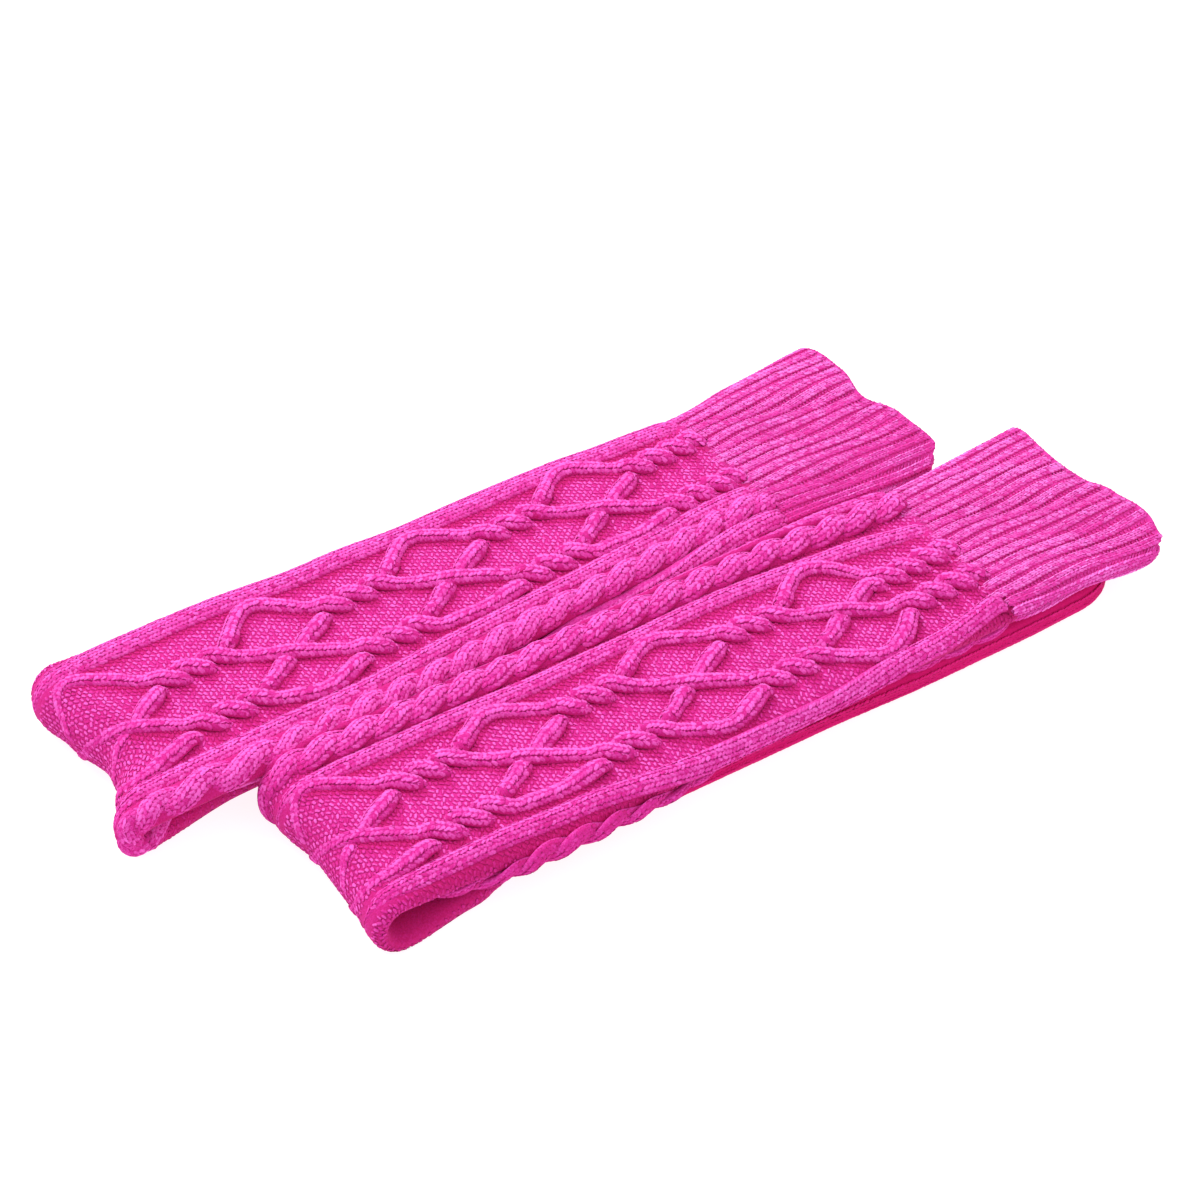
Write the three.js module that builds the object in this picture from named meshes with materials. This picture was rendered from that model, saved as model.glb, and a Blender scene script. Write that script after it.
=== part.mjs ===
// A pair of thigh-high cable-knit socks, each folded in half and laid flat, side by side.
// Millimetres, +Z up. +X runs along the socks from the folded ends to the ribbed cuffs, and +Y from the
// near sock to the far one. The origin is on the ground under the middle of the pair.
//
// Each sock is three solids: the ribbed cuff (an open flattened tube), the cable-knit leg (the upper
// layer and the bend of the fold) and the lower leg and foot turned under it (one rounded solid).
import * as THREE from 'three';

// ---- driving sizes ---------------------------------------------------------------------------------
const CUFF_END = 398;           // folded end to cuff end, at the middle of the width
const CUFF_LENGTH = 82;         // ribbed band
const CUFF_WALL = 3.6;          // one ply of relaxed rib
const MOUTH_HEIGHT = 6;         // the slit between the cuff's two plies
const MOUTH_FLOOR = 4;          // where the plies come together again, from the seam to the leg
const UNDERSIDE = 15;           // underside of the cuff and leg, on the layers turned under
const LEG_TOP = 27.6;           // ground of the cable knitting
const LOOP_WALL = 9.5;          // the doubled cloth where it goes round the bend
const FOLD_CLOSES = 66;         // where the loop of the fold has closed to a seam between the layers
const SEAM_GAP = 0.3;
const TOE_END = 386;            // end of the layers turned under
const TOE_CORNER = 30;          // rounding of that end in plan
const TOE_EDGE = 9;             // and in height
const SETTLE = 1.2;             // how far the rounded underside is pressed flat on the ground
const LAYER_GROOVE = 3;         // between the two layers of the turned-under stretch, at its edges

const AROUND = 44;              // points round a section
const SQUARENESS = 3.4;         // superellipse power of a flattened tube's section
const BEND_STEPS = 10;          // sections round the bend

const CUFF_START = CUFF_END - CUFF_LENGTH;
const FOLD_RADIUS = LEG_TOP / 2;
const LOOP_HOLLOW = FOLD_RADIUS - LOOP_WALL;
const UNDER_TOP = UNDERSIDE - 2 * SEAM_GAP;
const FIRST_TWIST = 52;         // the first row of cable twists, from the folded end

// ---- the two socks -----------------------------------------------------------------------------------
// x, y: the middle of the first row of twists; turn: of the sock's centre line, in degrees.
// Tables give edges of the flattened tubes by the distance along from the folded end, measured across
// from the line between the two cable columns; how far the fold and the cuff's edge reach out by the
// place across; and the raised lengthwise bands of the knitting.
const SOCKS = [
  {
    name: 'far', x: -164.66, y: 46.16, turn: 0.86,
    upper: [
      { along: 0, far: 59, near: -47.5 },
      { along: 36, far: 56, near: -46.5 },
      { along: 76, far: 53.5, near: -46 },
      { along: 132, far: 49.5, near: -46 },
      { along: 172, far: 45, near: -46 },
      { along: 212, far: 47, near: -46.5 },
      { along: 252, far: 44.5, near: -47 },
      { along: 276, far: 41.5, near: -47.5 },
      { along: 316, far: 39.5, near: -48.5 },
      { along: 352, far: 42.5, near: -49.5 },
      { along: 398, far: 43, near: -51 },
    ],
    under: [
      { along: 0, far: 58, near: -47 },
      { along: 16, far: 56, near: -44 },
      { along: 46, far: 52, near: -38 },
      { along: 132, far: 45, near: -40 },
      { along: 212, far: 41, near: -42 },
      { along: 316, far: 36, near: -43.5 },
      { along: 386, far: 36, near: -44 },
    ],
    foldReach: [
      { across: -47, reach: 14 },
      { across: -25, reach: 6 },
      { across: 5, reach: 2 },
      { across: 30, reach: 5 },
      { across: 59, reach: 5 },
    ],
    cuffReach: [
      { across: -51, reach: -2 },
      { across: -38, reach: 4 },
      { across: -20, reach: 3 },
      { across: 0, reach: -1.5 },
      { across: 20, reach: 2 },
      { across: 43, reach: -1 },
    ],
    bands: [
      { band: 'far border', at: 41, half: 6, rise: 1.4 },
      { band: 'near border', at: -31, half: 6, rise: 1.4 },
      { band: 'near rope', at: -42, half: 8, rise: 2.8 },
    ],
  },
  {
    name: 'near', x: -118.76, y: -61.14, turn: -0.86,
    upper: [
      { along: 0, far: 61, near: -40 },
      { along: 36, far: 58.5, near: -41 },
      { along: 76, far: 57, near: -42 },
      { along: 132, far: 56.5, near: -41 },
      { along: 172, far: 57, near: -38.5 },
      { along: 212, far: 57.5, near: -37.5 },
      { along: 276, far: 57.5, near: -37.5 },
      { along: 316, far: 57, near: -37 },
      { along: 352, far: 58, near: -36 },
      { along: 398, far: 60, near: -35.5 },
    ],
    under: [
      { along: 0, far: 58, near: -43.5 },
      { along: 16, far: 57, near: -42.5 },
      { along: 44, far: 54, near: -38.5 },
      { along: 66, far: 53, near: -32.5 },
      { along: 100, far: 52, near: -30.5 },
      { along: 144, far: 52, near: -33 },
      { along: 212, far: 52, near: -33.5 },
      { along: 276, far: 52, near: -35.5 },
      { along: 316, far: 52, near: -35.5 },
      { along: 386, far: 51, near: -33.5 },
    ],
    foldReach: [
      { across: -40, reach: 6 },
      { across: -15, reach: 2 },
      { across: 15, reach: 0.5 },
      { across: 40, reach: 4 },
      { across: 61, reach: 2 },
    ],
    cuffReach: [
      { across: -35.5, reach: -1 },
      { across: -22, reach: 2 },
      { across: 0, reach: 1 },
      { across: 15, reach: -4 },
      { across: 35, reach: -7 },
      { across: 58, reach: -5 },
    ],
    bands: [
      { band: 'far rope', at: 49, half: 8, rise: 2.8 },
      { band: 'far border', at: 37.5, half: 6, rise: 1.4 },
      { band: 'near border', at: -33, half: 6, rise: 1.4 },
    ],
  },
];

// ---- small helpers -----------------------------------------------------------------------------------
const clamp = (t) => Math.min(1, Math.max(0, t));
const smooth = (t) => clamp(t) ** 2 * (3 - 2 * clamp(t));
const mix = (a, b, t) => a + (b - a) * t;

// The value of a table's column where its key column is `at`, eased between the rows.
function look(table, key, column, at) {
  const next = table.findIndex((row) => row[key] > at);
  if (next === 0) return table[0][column];
  if (next < 0) return table[table.length - 1][column];
  const [low, high] = [table[next - 1], table[next]];
  return mix(low[column], high[column], smooth((at - low[key]) / (high[key] - low[key])));
}

// `count` values from one number up to another.
const steps = (from, to, count) => Array.from({ length: count }, (_, i) => mix(from, to, i / (count - 1)));

// The section of a flattened tube between two edges and two heights: {across, height, top} points of a
// superellipse, from the far edge over the top. top is 1 in the middle of the upper ply and -1 below.
function tubeSection(far, near, low, high) {
  const halfWidth = (far - near) / 2;
  const halfHeight = (high - low) / 2;
  const power = 2 / SQUARENESS;
  return Array.from({ length: AROUND }, (_, i) => {
    const angle = (2 * Math.PI * i) / AROUND;
    const [c, s] = [Math.cos(angle), Math.sin(angle)];
    return {
      across: (far + near) / 2 + halfWidth * Math.sign(c) * Math.abs(c) ** power,
      height: (low + high) / 2 + halfHeight * Math.sign(s) * Math.abs(s) ** power,
      top: s,
    };
  });
}

// How far the raised bands stand out of the upper ply at a place across the leg.
function bandRise(sock, across, top) {
  const rise = sock.bands.reduce((sum, { at, half, rise: most }) => (
    sum + most * (1 - smooth(Math.abs(across - at) / half))), 0);
  return rise * smooth(top / 0.6);
}

// A closed solid through rows of points with one count, each end closed by a fan from its middle. A row
// that turns back inside the others makes a wall.
function loft(rows) {
  const count = rows[0].length;
  const positions = rows.flat(2);
  const index = [];
  for (let i = 0; i + 1 < rows.length; i += 1) {
    for (let j = 0; j < count; j += 1) {
      const a = i * count + j;
      const b = i * count + ((j + 1) % count);
      index.push(a, a + count, b, b, a + count, b + count);
    }
  }
  for (const end of [0, rows.length - 1]) {
    const centre = positions.length / 3;
    for (let k = 0; k < 3; k += 1) {
      positions.push(rows[end].reduce((sum, point) => sum + point[k], 0) / count);
    }
    for (let j = 0; j < count; j += 1) {
      const a = end * count + j;
      const b = end * count + ((j + 1) % count);
      index.push(centre, ...(end === 0 ? [a, b] : [b, a]));
    }
  }
  const geometry = new THREE.BufferGeometry();
  geometry.setAttribute('position', new THREE.Float32BufferAttribute(positions, 3));
  geometry.setIndex(index);
  geometry.computeVertexNormals();
  return geometry;
}

// ---- the pieces --------------------------------------------------------------------------------------
// The ribbed cuff: a flattened tube open at its end, with a slit between its two plies.
function cuffGeometry(sock) {
  const row = (along, inset) => {
    const far = look(sock.upper, 'along', 'far', along) - inset;
    const near = look(sock.upper, 'along', 'near', along) + inset;
    const high = UNDERSIDE + 2 * CUFF_WALL + MOUTH_HEIGHT - inset;
    const pull = (along - CUFF_START) / CUFF_LENGTH;
    return tubeSection(far, near, UNDERSIDE + inset, high).map(({ across, height }) => [
      along + pull ** 2 * look(sock.cuffReach, 'across', 'reach', across), across, height,
    ]);
  };
  const outer = steps(CUFF_START + SEAM_GAP, CUFF_END, 6).map((along) => row(along, 0));
  const lip = [row(CUFF_END, CUFF_WALL / 2).map(([x, y, z]) => [x + CUFF_WALL / 4, y, z])];
  const inner = steps(CUFF_END, CUFF_START + MOUTH_FLOOR, 5).map((along) => row(along, CUFF_WALL));
  return loft([...outer, ...lip, ...inner].reverse());
}

// The cable-knit leg: the upper layer, the bend of the fold, and the bottom ply that comes out of it.
function legGeometry(sock) {
  const row = (along, turn) => {
    const turned = turn / Math.PI;
    const closed = smooth((along - FOLD_RADIUS) / (FOLD_CLOSES - FOLD_RADIUS));
    const edge = (side) => mix(
      look(sock.upper, 'along', side, along), look(sock.under, 'along', side, along), turned);
    // Heights are radii from the bend's axis. The cloth is thinner round the bend than where it lies.
    const hollow = mix(LOOP_HOLLOW, mix(UNDERSIDE - FOLD_RADIUS, FOLD_RADIUS - UNDER_TOP, turned), closed);
    return tubeSection(edge('far'), edge('near'), hollow, FOLD_RADIUS + SETTLE * turned)
      .map(({ across, height, top }) => {
        const radius = height + bandRise(sock, across, top) * (1 - smooth(turned * 1.6 - 0.6));
        const reach = look(sock.foldReach, 'across', 'reach', across) * (1 - closed);
        return [
          along - radius * Math.sin(turn) - reach, across,
          Math.max(0, FOLD_RADIUS + radius * Math.cos(turn)),
        ];
      });
  };
  const upper = steps(CUFF_START, FOLD_RADIUS, 16).map((along) => row(along, 0));
  const bend = steps(0, Math.PI, BEND_STEPS).slice(1).map((turn) => row(FOLD_RADIUS, turn));
  const lower = steps(FOLD_RADIUS, FOLD_CLOSES, 4).slice(1).map((along) => row(along, Math.PI));
  return loft([...upper, ...bend, ...lower]);
}

// The lower leg and foot turned under: one rounded solid, grooved at its edges between the layers.
function footGeometry(sock) {
  const start = FOLD_CLOSES + SEAM_GAP;
  const row = (along) => {
    const corner = clamp((along - TOE_END + TOE_CORNER) / TOE_CORNER);
    const edge = clamp((along - TOE_END + TOE_EDGE) / TOE_EDGE);
    const inset = TOE_CORNER * (1 - Math.sqrt(1 - corner ** 2));
    const thin = (UNDER_TOP / 2 - 1) * (1 - Math.sqrt(1 - edge ** 2));
    const far = look(sock.under, 'along', 'far', along) - inset;
    const near = look(sock.under, 'along', 'near', along) + inset;
    const groove = LAYER_GROOVE * smooth((along - start) / 40) * (1 - edge);
    return tubeSection(far, near, thin - SETTLE, UNDER_TOP - thin).map(({ across, height, top }) => {
      const side = Math.abs(top) < 1e-6 ? groove * Math.sign(across - (far + near) / 2) : 0;
      return [along, across - side, Math.max(0, height)];
    });
  };
  const toe = [10, 19, 25, 28, TOE_CORNER].map((step) => TOE_END - TOE_CORNER + step);
  return loft([...steps(start, TOE_END - TOE_CORNER, 8), ...toe].map(row).reverse());
}

// ---- the pair ----------------------------------------------------------------------------------------
const YARN = { color: 0xe81c9c, roughness: 0.9, metalness: 0 };
const PIECES = { cuff: cuffGeometry, leg: legGeometry, foot: footGeometry };

const socks = new THREE.Group();
for (const sock of SOCKS) {
  const group = new THREE.Group();
  for (const [piece, geometry] of Object.entries(PIECES)) {
    const mesh = new THREE.Mesh(geometry(sock), new THREE.MeshStandardMaterial(YARN));
    mesh.name = `${sock.name}_${piece}`;
    mesh.position.x = -FIRST_TWIST;
    group.add(mesh);
  }
  group.position.set(sock.x, sock.y, 0);
  group.rotation.z = THREE.MathUtils.degToRad(sock.turn);
  socks.add(group);
}

export default socks;
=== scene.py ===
"""A pair of thigh-high cable-knit socks, each folded in half and laid flat, side by side.

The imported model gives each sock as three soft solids: a ribbed cuff, a cable-knit leg and the lower leg
and foot turned under it. Here each of them becomes a thin knitted wall on the same form, and the stitches
that stand out of it (purl ground, lattice cables, borders, rope cables and ribs) are made one by one.

Lengths are millimetres until a mesh is made. A sock has its own frame: `along` runs from the folded end
to the cuff and `across` from the line between the two cable columns, positive on the far side. On a
flattened tube, `path` runs along it and round the fold, and `girth` round it from the middle of the top.
"""

import logging
import math
from dataclasses import dataclass, field
from enum import Enum
from typing import Callable, Iterable, NamedTuple, Sequence

import bpy
import numpy as np
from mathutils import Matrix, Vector


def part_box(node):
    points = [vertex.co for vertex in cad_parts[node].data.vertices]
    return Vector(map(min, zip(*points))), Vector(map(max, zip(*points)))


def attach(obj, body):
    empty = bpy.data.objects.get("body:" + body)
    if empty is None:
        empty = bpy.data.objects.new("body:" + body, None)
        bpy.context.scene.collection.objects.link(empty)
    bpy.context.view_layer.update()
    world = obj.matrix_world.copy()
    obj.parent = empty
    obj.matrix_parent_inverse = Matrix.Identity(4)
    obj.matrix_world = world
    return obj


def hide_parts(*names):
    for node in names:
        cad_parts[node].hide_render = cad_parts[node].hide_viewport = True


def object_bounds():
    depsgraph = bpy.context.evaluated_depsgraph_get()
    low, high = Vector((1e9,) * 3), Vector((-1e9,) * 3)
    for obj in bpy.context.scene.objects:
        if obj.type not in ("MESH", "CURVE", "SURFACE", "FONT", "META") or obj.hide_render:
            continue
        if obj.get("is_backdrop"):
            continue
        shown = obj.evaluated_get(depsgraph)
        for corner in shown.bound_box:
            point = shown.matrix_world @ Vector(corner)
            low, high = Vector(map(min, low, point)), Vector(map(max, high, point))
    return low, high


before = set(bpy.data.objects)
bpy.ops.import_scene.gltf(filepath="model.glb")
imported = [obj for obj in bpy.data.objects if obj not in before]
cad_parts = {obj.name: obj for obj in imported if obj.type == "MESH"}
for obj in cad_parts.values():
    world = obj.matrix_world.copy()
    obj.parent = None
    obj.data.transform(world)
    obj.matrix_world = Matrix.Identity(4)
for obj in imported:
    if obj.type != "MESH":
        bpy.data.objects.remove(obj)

logging.basicConfig(level=logging.INFO, format="%(message)s")
log = logging.getLogger("socks")

Array = np.ndarray
MM = 0.001
ROOT_BODY = "root"

# ---- construction sizes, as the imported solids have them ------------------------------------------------
CUFF_END = 398.0
CUFF_LENGTH = 82.0
CUFF_START = CUFF_END - CUFF_LENGTH
UNDERSIDE = 15.0
LEG_TOP = 27.6
CUFF_TOP = 28.2
FOLD_RADIUS = LEG_TOP / 2
FOLD_ARC = math.pi * FOLD_RADIUS
LOOP_HOLLOW = 4.3
FOLD_CLOSES = 66.0
UNDER_TOP = 14.4
TOE_END = 386.0
TOE_CORNER = 30.0
TOE_EDGE = 9.0
SETTLE = 1.2
LAYER_GROOVE = 1.5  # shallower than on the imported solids, which have no stitches in it
SQUARENESS = 3.4
SEAM_GAP = 0.3
FIRST_TWIST = 52.0

# ---- gauge ---------------------------------------------------------------------------------------------
REPEAT = 80.0  # one repeat of the cable lattice
ROW = 1.9  # height of a stitch
WALE = 2.8  # width of a stitch
RESTING = 0.6  # stitches whose strand lies lower than this are pressed flat on the floor
SEED = 20


class Cloth(Enum):
    """The kinds of knitting, by the material slot that each takes its finish from."""

    CABLE = "cable_knit"
    RIB = "rib_knit"
    PLAIN = "plain_knit"


# ---- small helpers -------------------------------------------------------------------------------------
def smooth(t: Array | float) -> Array:
    """Ease from 0 to 1, flat at both ends."""
    t = np.clip(t, 0.0, 1.0)
    return t * t * (3 - 2 * t)


def mix(a: Array | float, b: Array | float, t: Array | float) -> Array | float:
    """Blend from a to b."""
    return a + (b - a) * t


def unit(vectors: Array) -> Array:
    """Scale vectors, along the last axis, to length one."""
    return vectors / np.maximum(np.linalg.norm(vectors, axis=-1, keepdims=True), 1e-9)


@dataclass(frozen=True)
class Course:
    """A size that changes from place to place, as a short table eased between its rows.

    Attributes:
        rows: Pairs of place and value, in order of place.
    """

    rows: tuple[tuple[float, float], ...]

    def at(self, place: Array | float) -> Array:
        """Look the table up.

        Args:
            place: Where to look, a number or an array.

        Returns:
            The value there, held beyond the first and last rows.
        """
        keys, values = np.array(self.rows).T
        i = np.clip(np.searchsorted(keys, place, side="right") - 1, 0, len(keys) - 2)
        t = smooth((place - keys[i]) / (keys[i + 1] - keys[i]))
        return mix(values[i], values[i + 1], t)


class Edge(NamedTuple):
    """The two edges of a flattened tube at a place along it."""

    along: float
    far: float
    near: float


def edge_courses(edges: Sequence[Edge]) -> tuple[Course, Course]:
    """Split a table of edges into one course for each edge.

    Args:
        edges: The rows.

    Returns:
        The far edge's course and the near edge's.
    """
    far = Course(tuple((e.along, e.far) for e in edges))
    near = Course(tuple((e.along, e.near) for e in edges))
    return far, near


# ---- the two socks' own sizes --------------------------------------------------------------------------
@dataclass(frozen=True)
class CableChart:
    """Where the knitted figures run, in repeats of the lattice from the first row of twists.

    Attributes:
        column_far, column_near: Middles of the two columns of twists.
        peak_far, peak_near: How far the outer cords swing out between twists.
        border_far, border_near: Middles of the two raised borders.
        rope_far, rope_near: Middles of the two rope cables.
    """

    column_far: Course
    column_near: Course
    peak_far: Course
    peak_near: Course
    border_far: Course
    border_near: Course
    rope_far: Course
    rope_near: Course


@dataclass(frozen=True)
class SockSizes:
    """One sock's outline and place.

    Attributes:
        name: far or near.
        turn: Turn of its centre line, in degrees.
        upper, under: Edges of the upper layer and of the layers turned under.
        fold_reach: How far the fold bulges out, by the place across.
        cuff_reach: How far the cuff's edge reaches, by the place across.
        cuff_wave: How high the cuff's open edge lifts, by the place across.
        chart: Where its figures run.
        creases: Soft troughs and ridges of the leg.
        hollow: Radius of the open loop in the fold.
        wide_border: Whether the far border shows its fourth column.
        calf_lifts: Rise of the double ribs beyond the far and the near rope, None where there is none.
        rope_sizes: Sizes of the far and the near rope, as shares.
        toe_corner: Roundness of the toe's near corner, as a share of its far corner's.
        tuck: Where the leg is tucked in under the cuff's start, as a place across.
    """

    name: str
    turn: float
    upper: tuple[Edge, ...]
    under: tuple[Edge, ...]
    fold_reach: Course
    cuff_reach: Course
    cuff_wave: Course
    chart: CableChart
    creases: tuple["Crease", ...]
    hollow: float
    wide_border: bool
    calf_lifts: tuple[float | None, float | None]
    rope_sizes: tuple[float, float]
    toe_corner: float = 1.0
    tuck: float | None = None


class Crease(NamedTuple):
    """A soft trough or ridge from one place to another, in millimetres of along and across."""

    start: tuple[float, float]
    end: tuple[float, float]
    width: float
    rise: float


FAR_SOCK = SockSizes(
    name="far",
    turn=0.86,
    upper=(
        Edge(0, 59, -47.5),
        Edge(36, 56, -46.5),
        Edge(76, 53.5, -46),
        Edge(132, 49.5, -46),
        Edge(172, 45, -46),
        Edge(212, 47, -46.5),
        Edge(252, 44.5, -47),
        Edge(276, 41.5, -47.5),
        Edge(316, 39.5, -50),
        Edge(352, 43, -55),
        Edge(398, 46.5, -54),
    ),
    under=(
        Edge(0, 58, -47),
        Edge(16, 56, -44),
        Edge(46, 52, -38),
        Edge(132, 45, -40),
        Edge(212, 41, -42),
        Edge(316, 36, -43.5),
        Edge(386, 36, -44),
    ),
    fold_reach=Course(
        ((-48, 16), (-42, 18), (-36, 15.5), (-26, 8), (-14, 1), (0, -1.5), (25, 3), (45, 7), (59, 5.5))
    ),
    cuff_reach=Course(((-54, -4), (-44, 4.5), (-22, 3.5), (0, -1.5), (20, 2), (46, 3))),
    cuff_wave=Course(((-51, -1), (-30, 0.6), (0, -0.8), (22, 0.8), (43, -0.5))),
    chart=CableChart(
        column_far=Course(((0, 0.205), (3, 0.21))),
        column_near=Course(((2, -0.205), (3, -0.18))),
        peak_far=Course(((-0.5, 0.50), (0.5, 0.45), (1.5, 0.43), (2.5, 0.42))),
        peak_near=Course(((-0.5, -0.34), (0.5, -0.33), (1.5, -0.28), (2.5, -0.27))),
        border_far=Course(((-1, 0.60), (0, 0.59), (1, 0.525), (2, 0.485), (3.3, 0.42))),
        border_near=Course(
            ((-1, -0.42), (0, -0.43), (0.7, -0.435), (1.3, -0.40), (2, -0.37), (3.3, -0.31))
        ),
        rope_far=Course(((-1, 0.86), (0, 0.84), (1, 0.78), (2, 0.74), (3.3, 0.66))),
        rope_near=Course(
            ((-1.2, -0.74), (-0.95, -0.62), (-0.7, -0.565), (-0.3, -0.55), (1, -0.56),
             (2, -0.505), (3.3, -0.44))
        ),
    ),
    creases=(
        Crease((70, 12), (150, 20), 16, -0.7),
        Crease((190, -8), (262, -2), 14, 0.6),
        Crease((30, -22), (90, -26), 10, 0.6),
    ),
    hollow=0.3,
    wide_border=True,
    calf_lifts=(0.0, 1.3),
    rope_sizes=(1.0, 0.88),
    toe_corner=0.35,
)

NEAR_SOCK = SockSizes(
    name="near",
    turn=-0.86,
    upper=(
        Edge(0, 61, -40),
        Edge(36, 58.5, -41),
        Edge(76, 57, -42),
        Edge(132, 56.5, -41),
        Edge(172, 57, -38.5),
        Edge(212, 57.5, -37.5),
        Edge(276, 57.5, -37.5),
        Edge(316, 57, -37),
        Edge(352, 59.5, -37),
        Edge(398, 63.5, -39.5),
    ),
    under=(
        Edge(0, 58, -43.5),
        Edge(16, 57, -42.5),
        Edge(44, 54, -38.5),
        Edge(66, 53, -32.5),
        Edge(100, 52, -30.5),
        Edge(144, 52, -33),
        Edge(212, 52, -33.5),
        Edge(276, 52, -35.5),
        Edge(316, 52, -35.5),
        Edge(386, 51, -33.5),
    ),
    fold_reach=Course(((-40, 6), (-15, 2), (15, 0.5), (40, 4), (61, 2))),
    cuff_reach=Course(
        ((-39.5, -7), (-33, 1), (-22, 3.5), (0, 1), (15, -4), (35, -7), (58, -3.5))
    ),
    cuff_wave=Course(((-36, -0.6), (-12, 0.8), (16, -1.0), (38, 0.5), (60, -0.8))),
    chart=CableChart(
        column_far=Course(((2, 0.205), (3, 0.11))),
        column_near=Course(((2, -0.205), (3, -0.13))),
        peak_far=Course(((-0.5, 0.45), (0.5, 0.385), (1.5, 0.385), (2.45, 0.40))),
        peak_near=Course(((-0.5, -0.30), (0.5, -0.28), (1.5, -0.36), (2.5, -0.36))),
        border_far=Course(
            ((-1, 0.47), (0, 0.47), (1, 0.45), (2, 0.47), (2.75, 0.41), (3.3, 0.33))
        ),
        border_near=Course(
            ((-1, -0.40), (0, -0.40), (0.5, -0.42), (1.25, -0.49), (2, -0.49),
             (2.75, -0.44), (3.3, -0.37))
        ),
        rope_far=Course(((-1, 0.63), (0, 0.62), (2, 0.62), (3.3, 0.57))),
        rope_near=Course(
            ((-1, -0.86), (-0.45, -0.80), (-0.12, -0.62), (0.3, -0.575), (0.8, -0.59),
             (1.2, -0.625), (1.6, -0.69), (3.3, -0.60))
        ),
    ),
    creases=(
        Crease((84, 8), (170, 2), 15, -0.7),
        Crease((215, 20), (290, 12), 14, -0.5),
        Crease((140, -24), (220, -26), 9, 0.7),
        Crease((312, -27), (314, -42), 3.4, -5.0),
    ),
    hollow=LOOP_HOLLOW,
    wide_border=False,
    calf_lifts=(1.7, None),
    rope_sizes=(1.0, 0.72),
    tuck=-33.0,
)


# ---- meshes --------------------------------------------------------------------------------------------
@dataclass
class KnitMesh:
    """Vertices, faces and stitch relief, gathered before one Blender mesh is made of them.

    Attributes:
        points: Arrays of vertices, in millimetres.
        faces: Arrays of faces with one corner count each.
        relief: For each vertex, 0 deep between the stitches and 1 on their tops; low relief is painted
            shade and high relief painted highlight.
        count: Vertices so far.
    """

    points: list[Array] = field(default_factory=list)
    faces: list[Array] = field(default_factory=list)
    relief: list[Array] = field(default_factory=list)
    count: int = 0

    def add(self, points: Array, faces: Iterable[Array], relief: Array | float) -> None:
        """Add one closed part.

        Args:
            points: Its vertices, in any leading shape.
            faces: Arrays of vertex numbers in it, one array for each corner count.
            relief: Its relief, one number or one for each vertex.
        """
        flat = points.reshape(-1, 3)
        self.points.append(flat)
        self.relief.append(np.broadcast_to(relief, points.shape[:-1]).reshape(-1))
        self.faces.extend(part.reshape(-1, part.shape[-1]) + self.count for part in faces)
        self.count += len(flat)

    def add_tube(self, rings: Array, relief: Array | float, caps: bool = True) -> None:
        """Add a tube through rings of points.

        Args:
            rings: Shape (ring, point, 3), each ring running clockwise as seen along the tube.
            relief: As for add.
            caps: Whether the ends are closed by a flat face.
        """
        count, around = rings.shape[:2]
        faces = [ring_faces(count, around)]
        if caps:
            first = np.arange(around)
            faces.append(first[None, :])
            faces.append(first[None, ::-1] + (count - 1) * around)
        self.add(rings, faces, relief)

    def build(self, name: str, material: bpy.types.Material) -> bpy.types.Object:
        """Make the Blender object, at the origin, with its relief as an attribute.

        Args:
            name: Name of the object and its mesh.
            material: Its finish.

        Returns:
            The new object.
        """
        points = np.concatenate(self.points)
        points[:, 2] = np.maximum(points[:, 2], 0.0)
        corners = [part.reshape(-1) for part in self.faces]
        totals = np.concatenate([np.full(len(p), p.shape[1]) for p in self.faces])
        mesh = bpy.data.meshes.new(name)
        mesh.vertices.add(len(points))
        mesh.vertices.foreach_set("co", (points * MM).astype(np.float32).ravel())
        mesh.loops.add(int(totals.sum()))
        mesh.loops.foreach_set("vertex_index", np.concatenate(corners).astype(np.int32))
        mesh.polygons.add(len(totals))
        starts = np.concatenate([[0], np.cumsum(totals)[:-1]]).astype(np.int32)
        mesh.polygons.foreach_set("loop_start", starts)
        mesh.update(calc_edges=True)
        mesh.shade_smooth()
        relief = mesh.attributes.new("relief", "FLOAT", "POINT")
        relief.data.foreach_set("value", np.concatenate(self.relief).astype(np.float32))
        mesh.materials.append(material)
        piece = bpy.data.objects.new(name, mesh)
        bpy.context.scene.collection.objects.link(piece)
        log.info("%s: %d triangles", name, int((totals - 2).sum()))
        return piece


def ring_faces(count: int, around: int) -> Array:
    """Quads between rings of points, turned outwards.

    Args:
        count: Number of rings.
        around: Points in each.

    Returns:
        Vertex numbers, four to a face.
    """
    i = np.arange(count - 1)[:, None] * around
    j = np.arange(around)[None, :]
    k = (j + 1) % around
    return np.stack([i + j, i + k, i + k + around, i + j + around], -1).reshape(-1, 4)


def even_shares(count: int) -> Array:
    """Give evenly spaced places round a tube, as shares of the way round, falling from 0.5."""
    return 0.5 - np.arange(count) / count


def edge_shares(flat: int = 18, edge: int = 24, reach: float = 0.055) -> Array:
    """Give places round a tube that stand closer together at its two edges.

    Args:
        flat: Points on each flat side.
        edge: Points at each edge.
        reach: How far each edge reaches either way, as a share of the way round.

    Returns:
        The shares, falling from 0.5.
    """
    low, high = 0.25 - reach, 0.25 + reach
    spans = ((0.5, high, flat // 2), (high, low, edge), (low, -low, flat),
             (-low, -high, edge), (-high, -0.5, flat // 2))
    return np.concatenate([np.linspace(a, b, n, endpoint=False) for a, b, n in spans])


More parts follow.
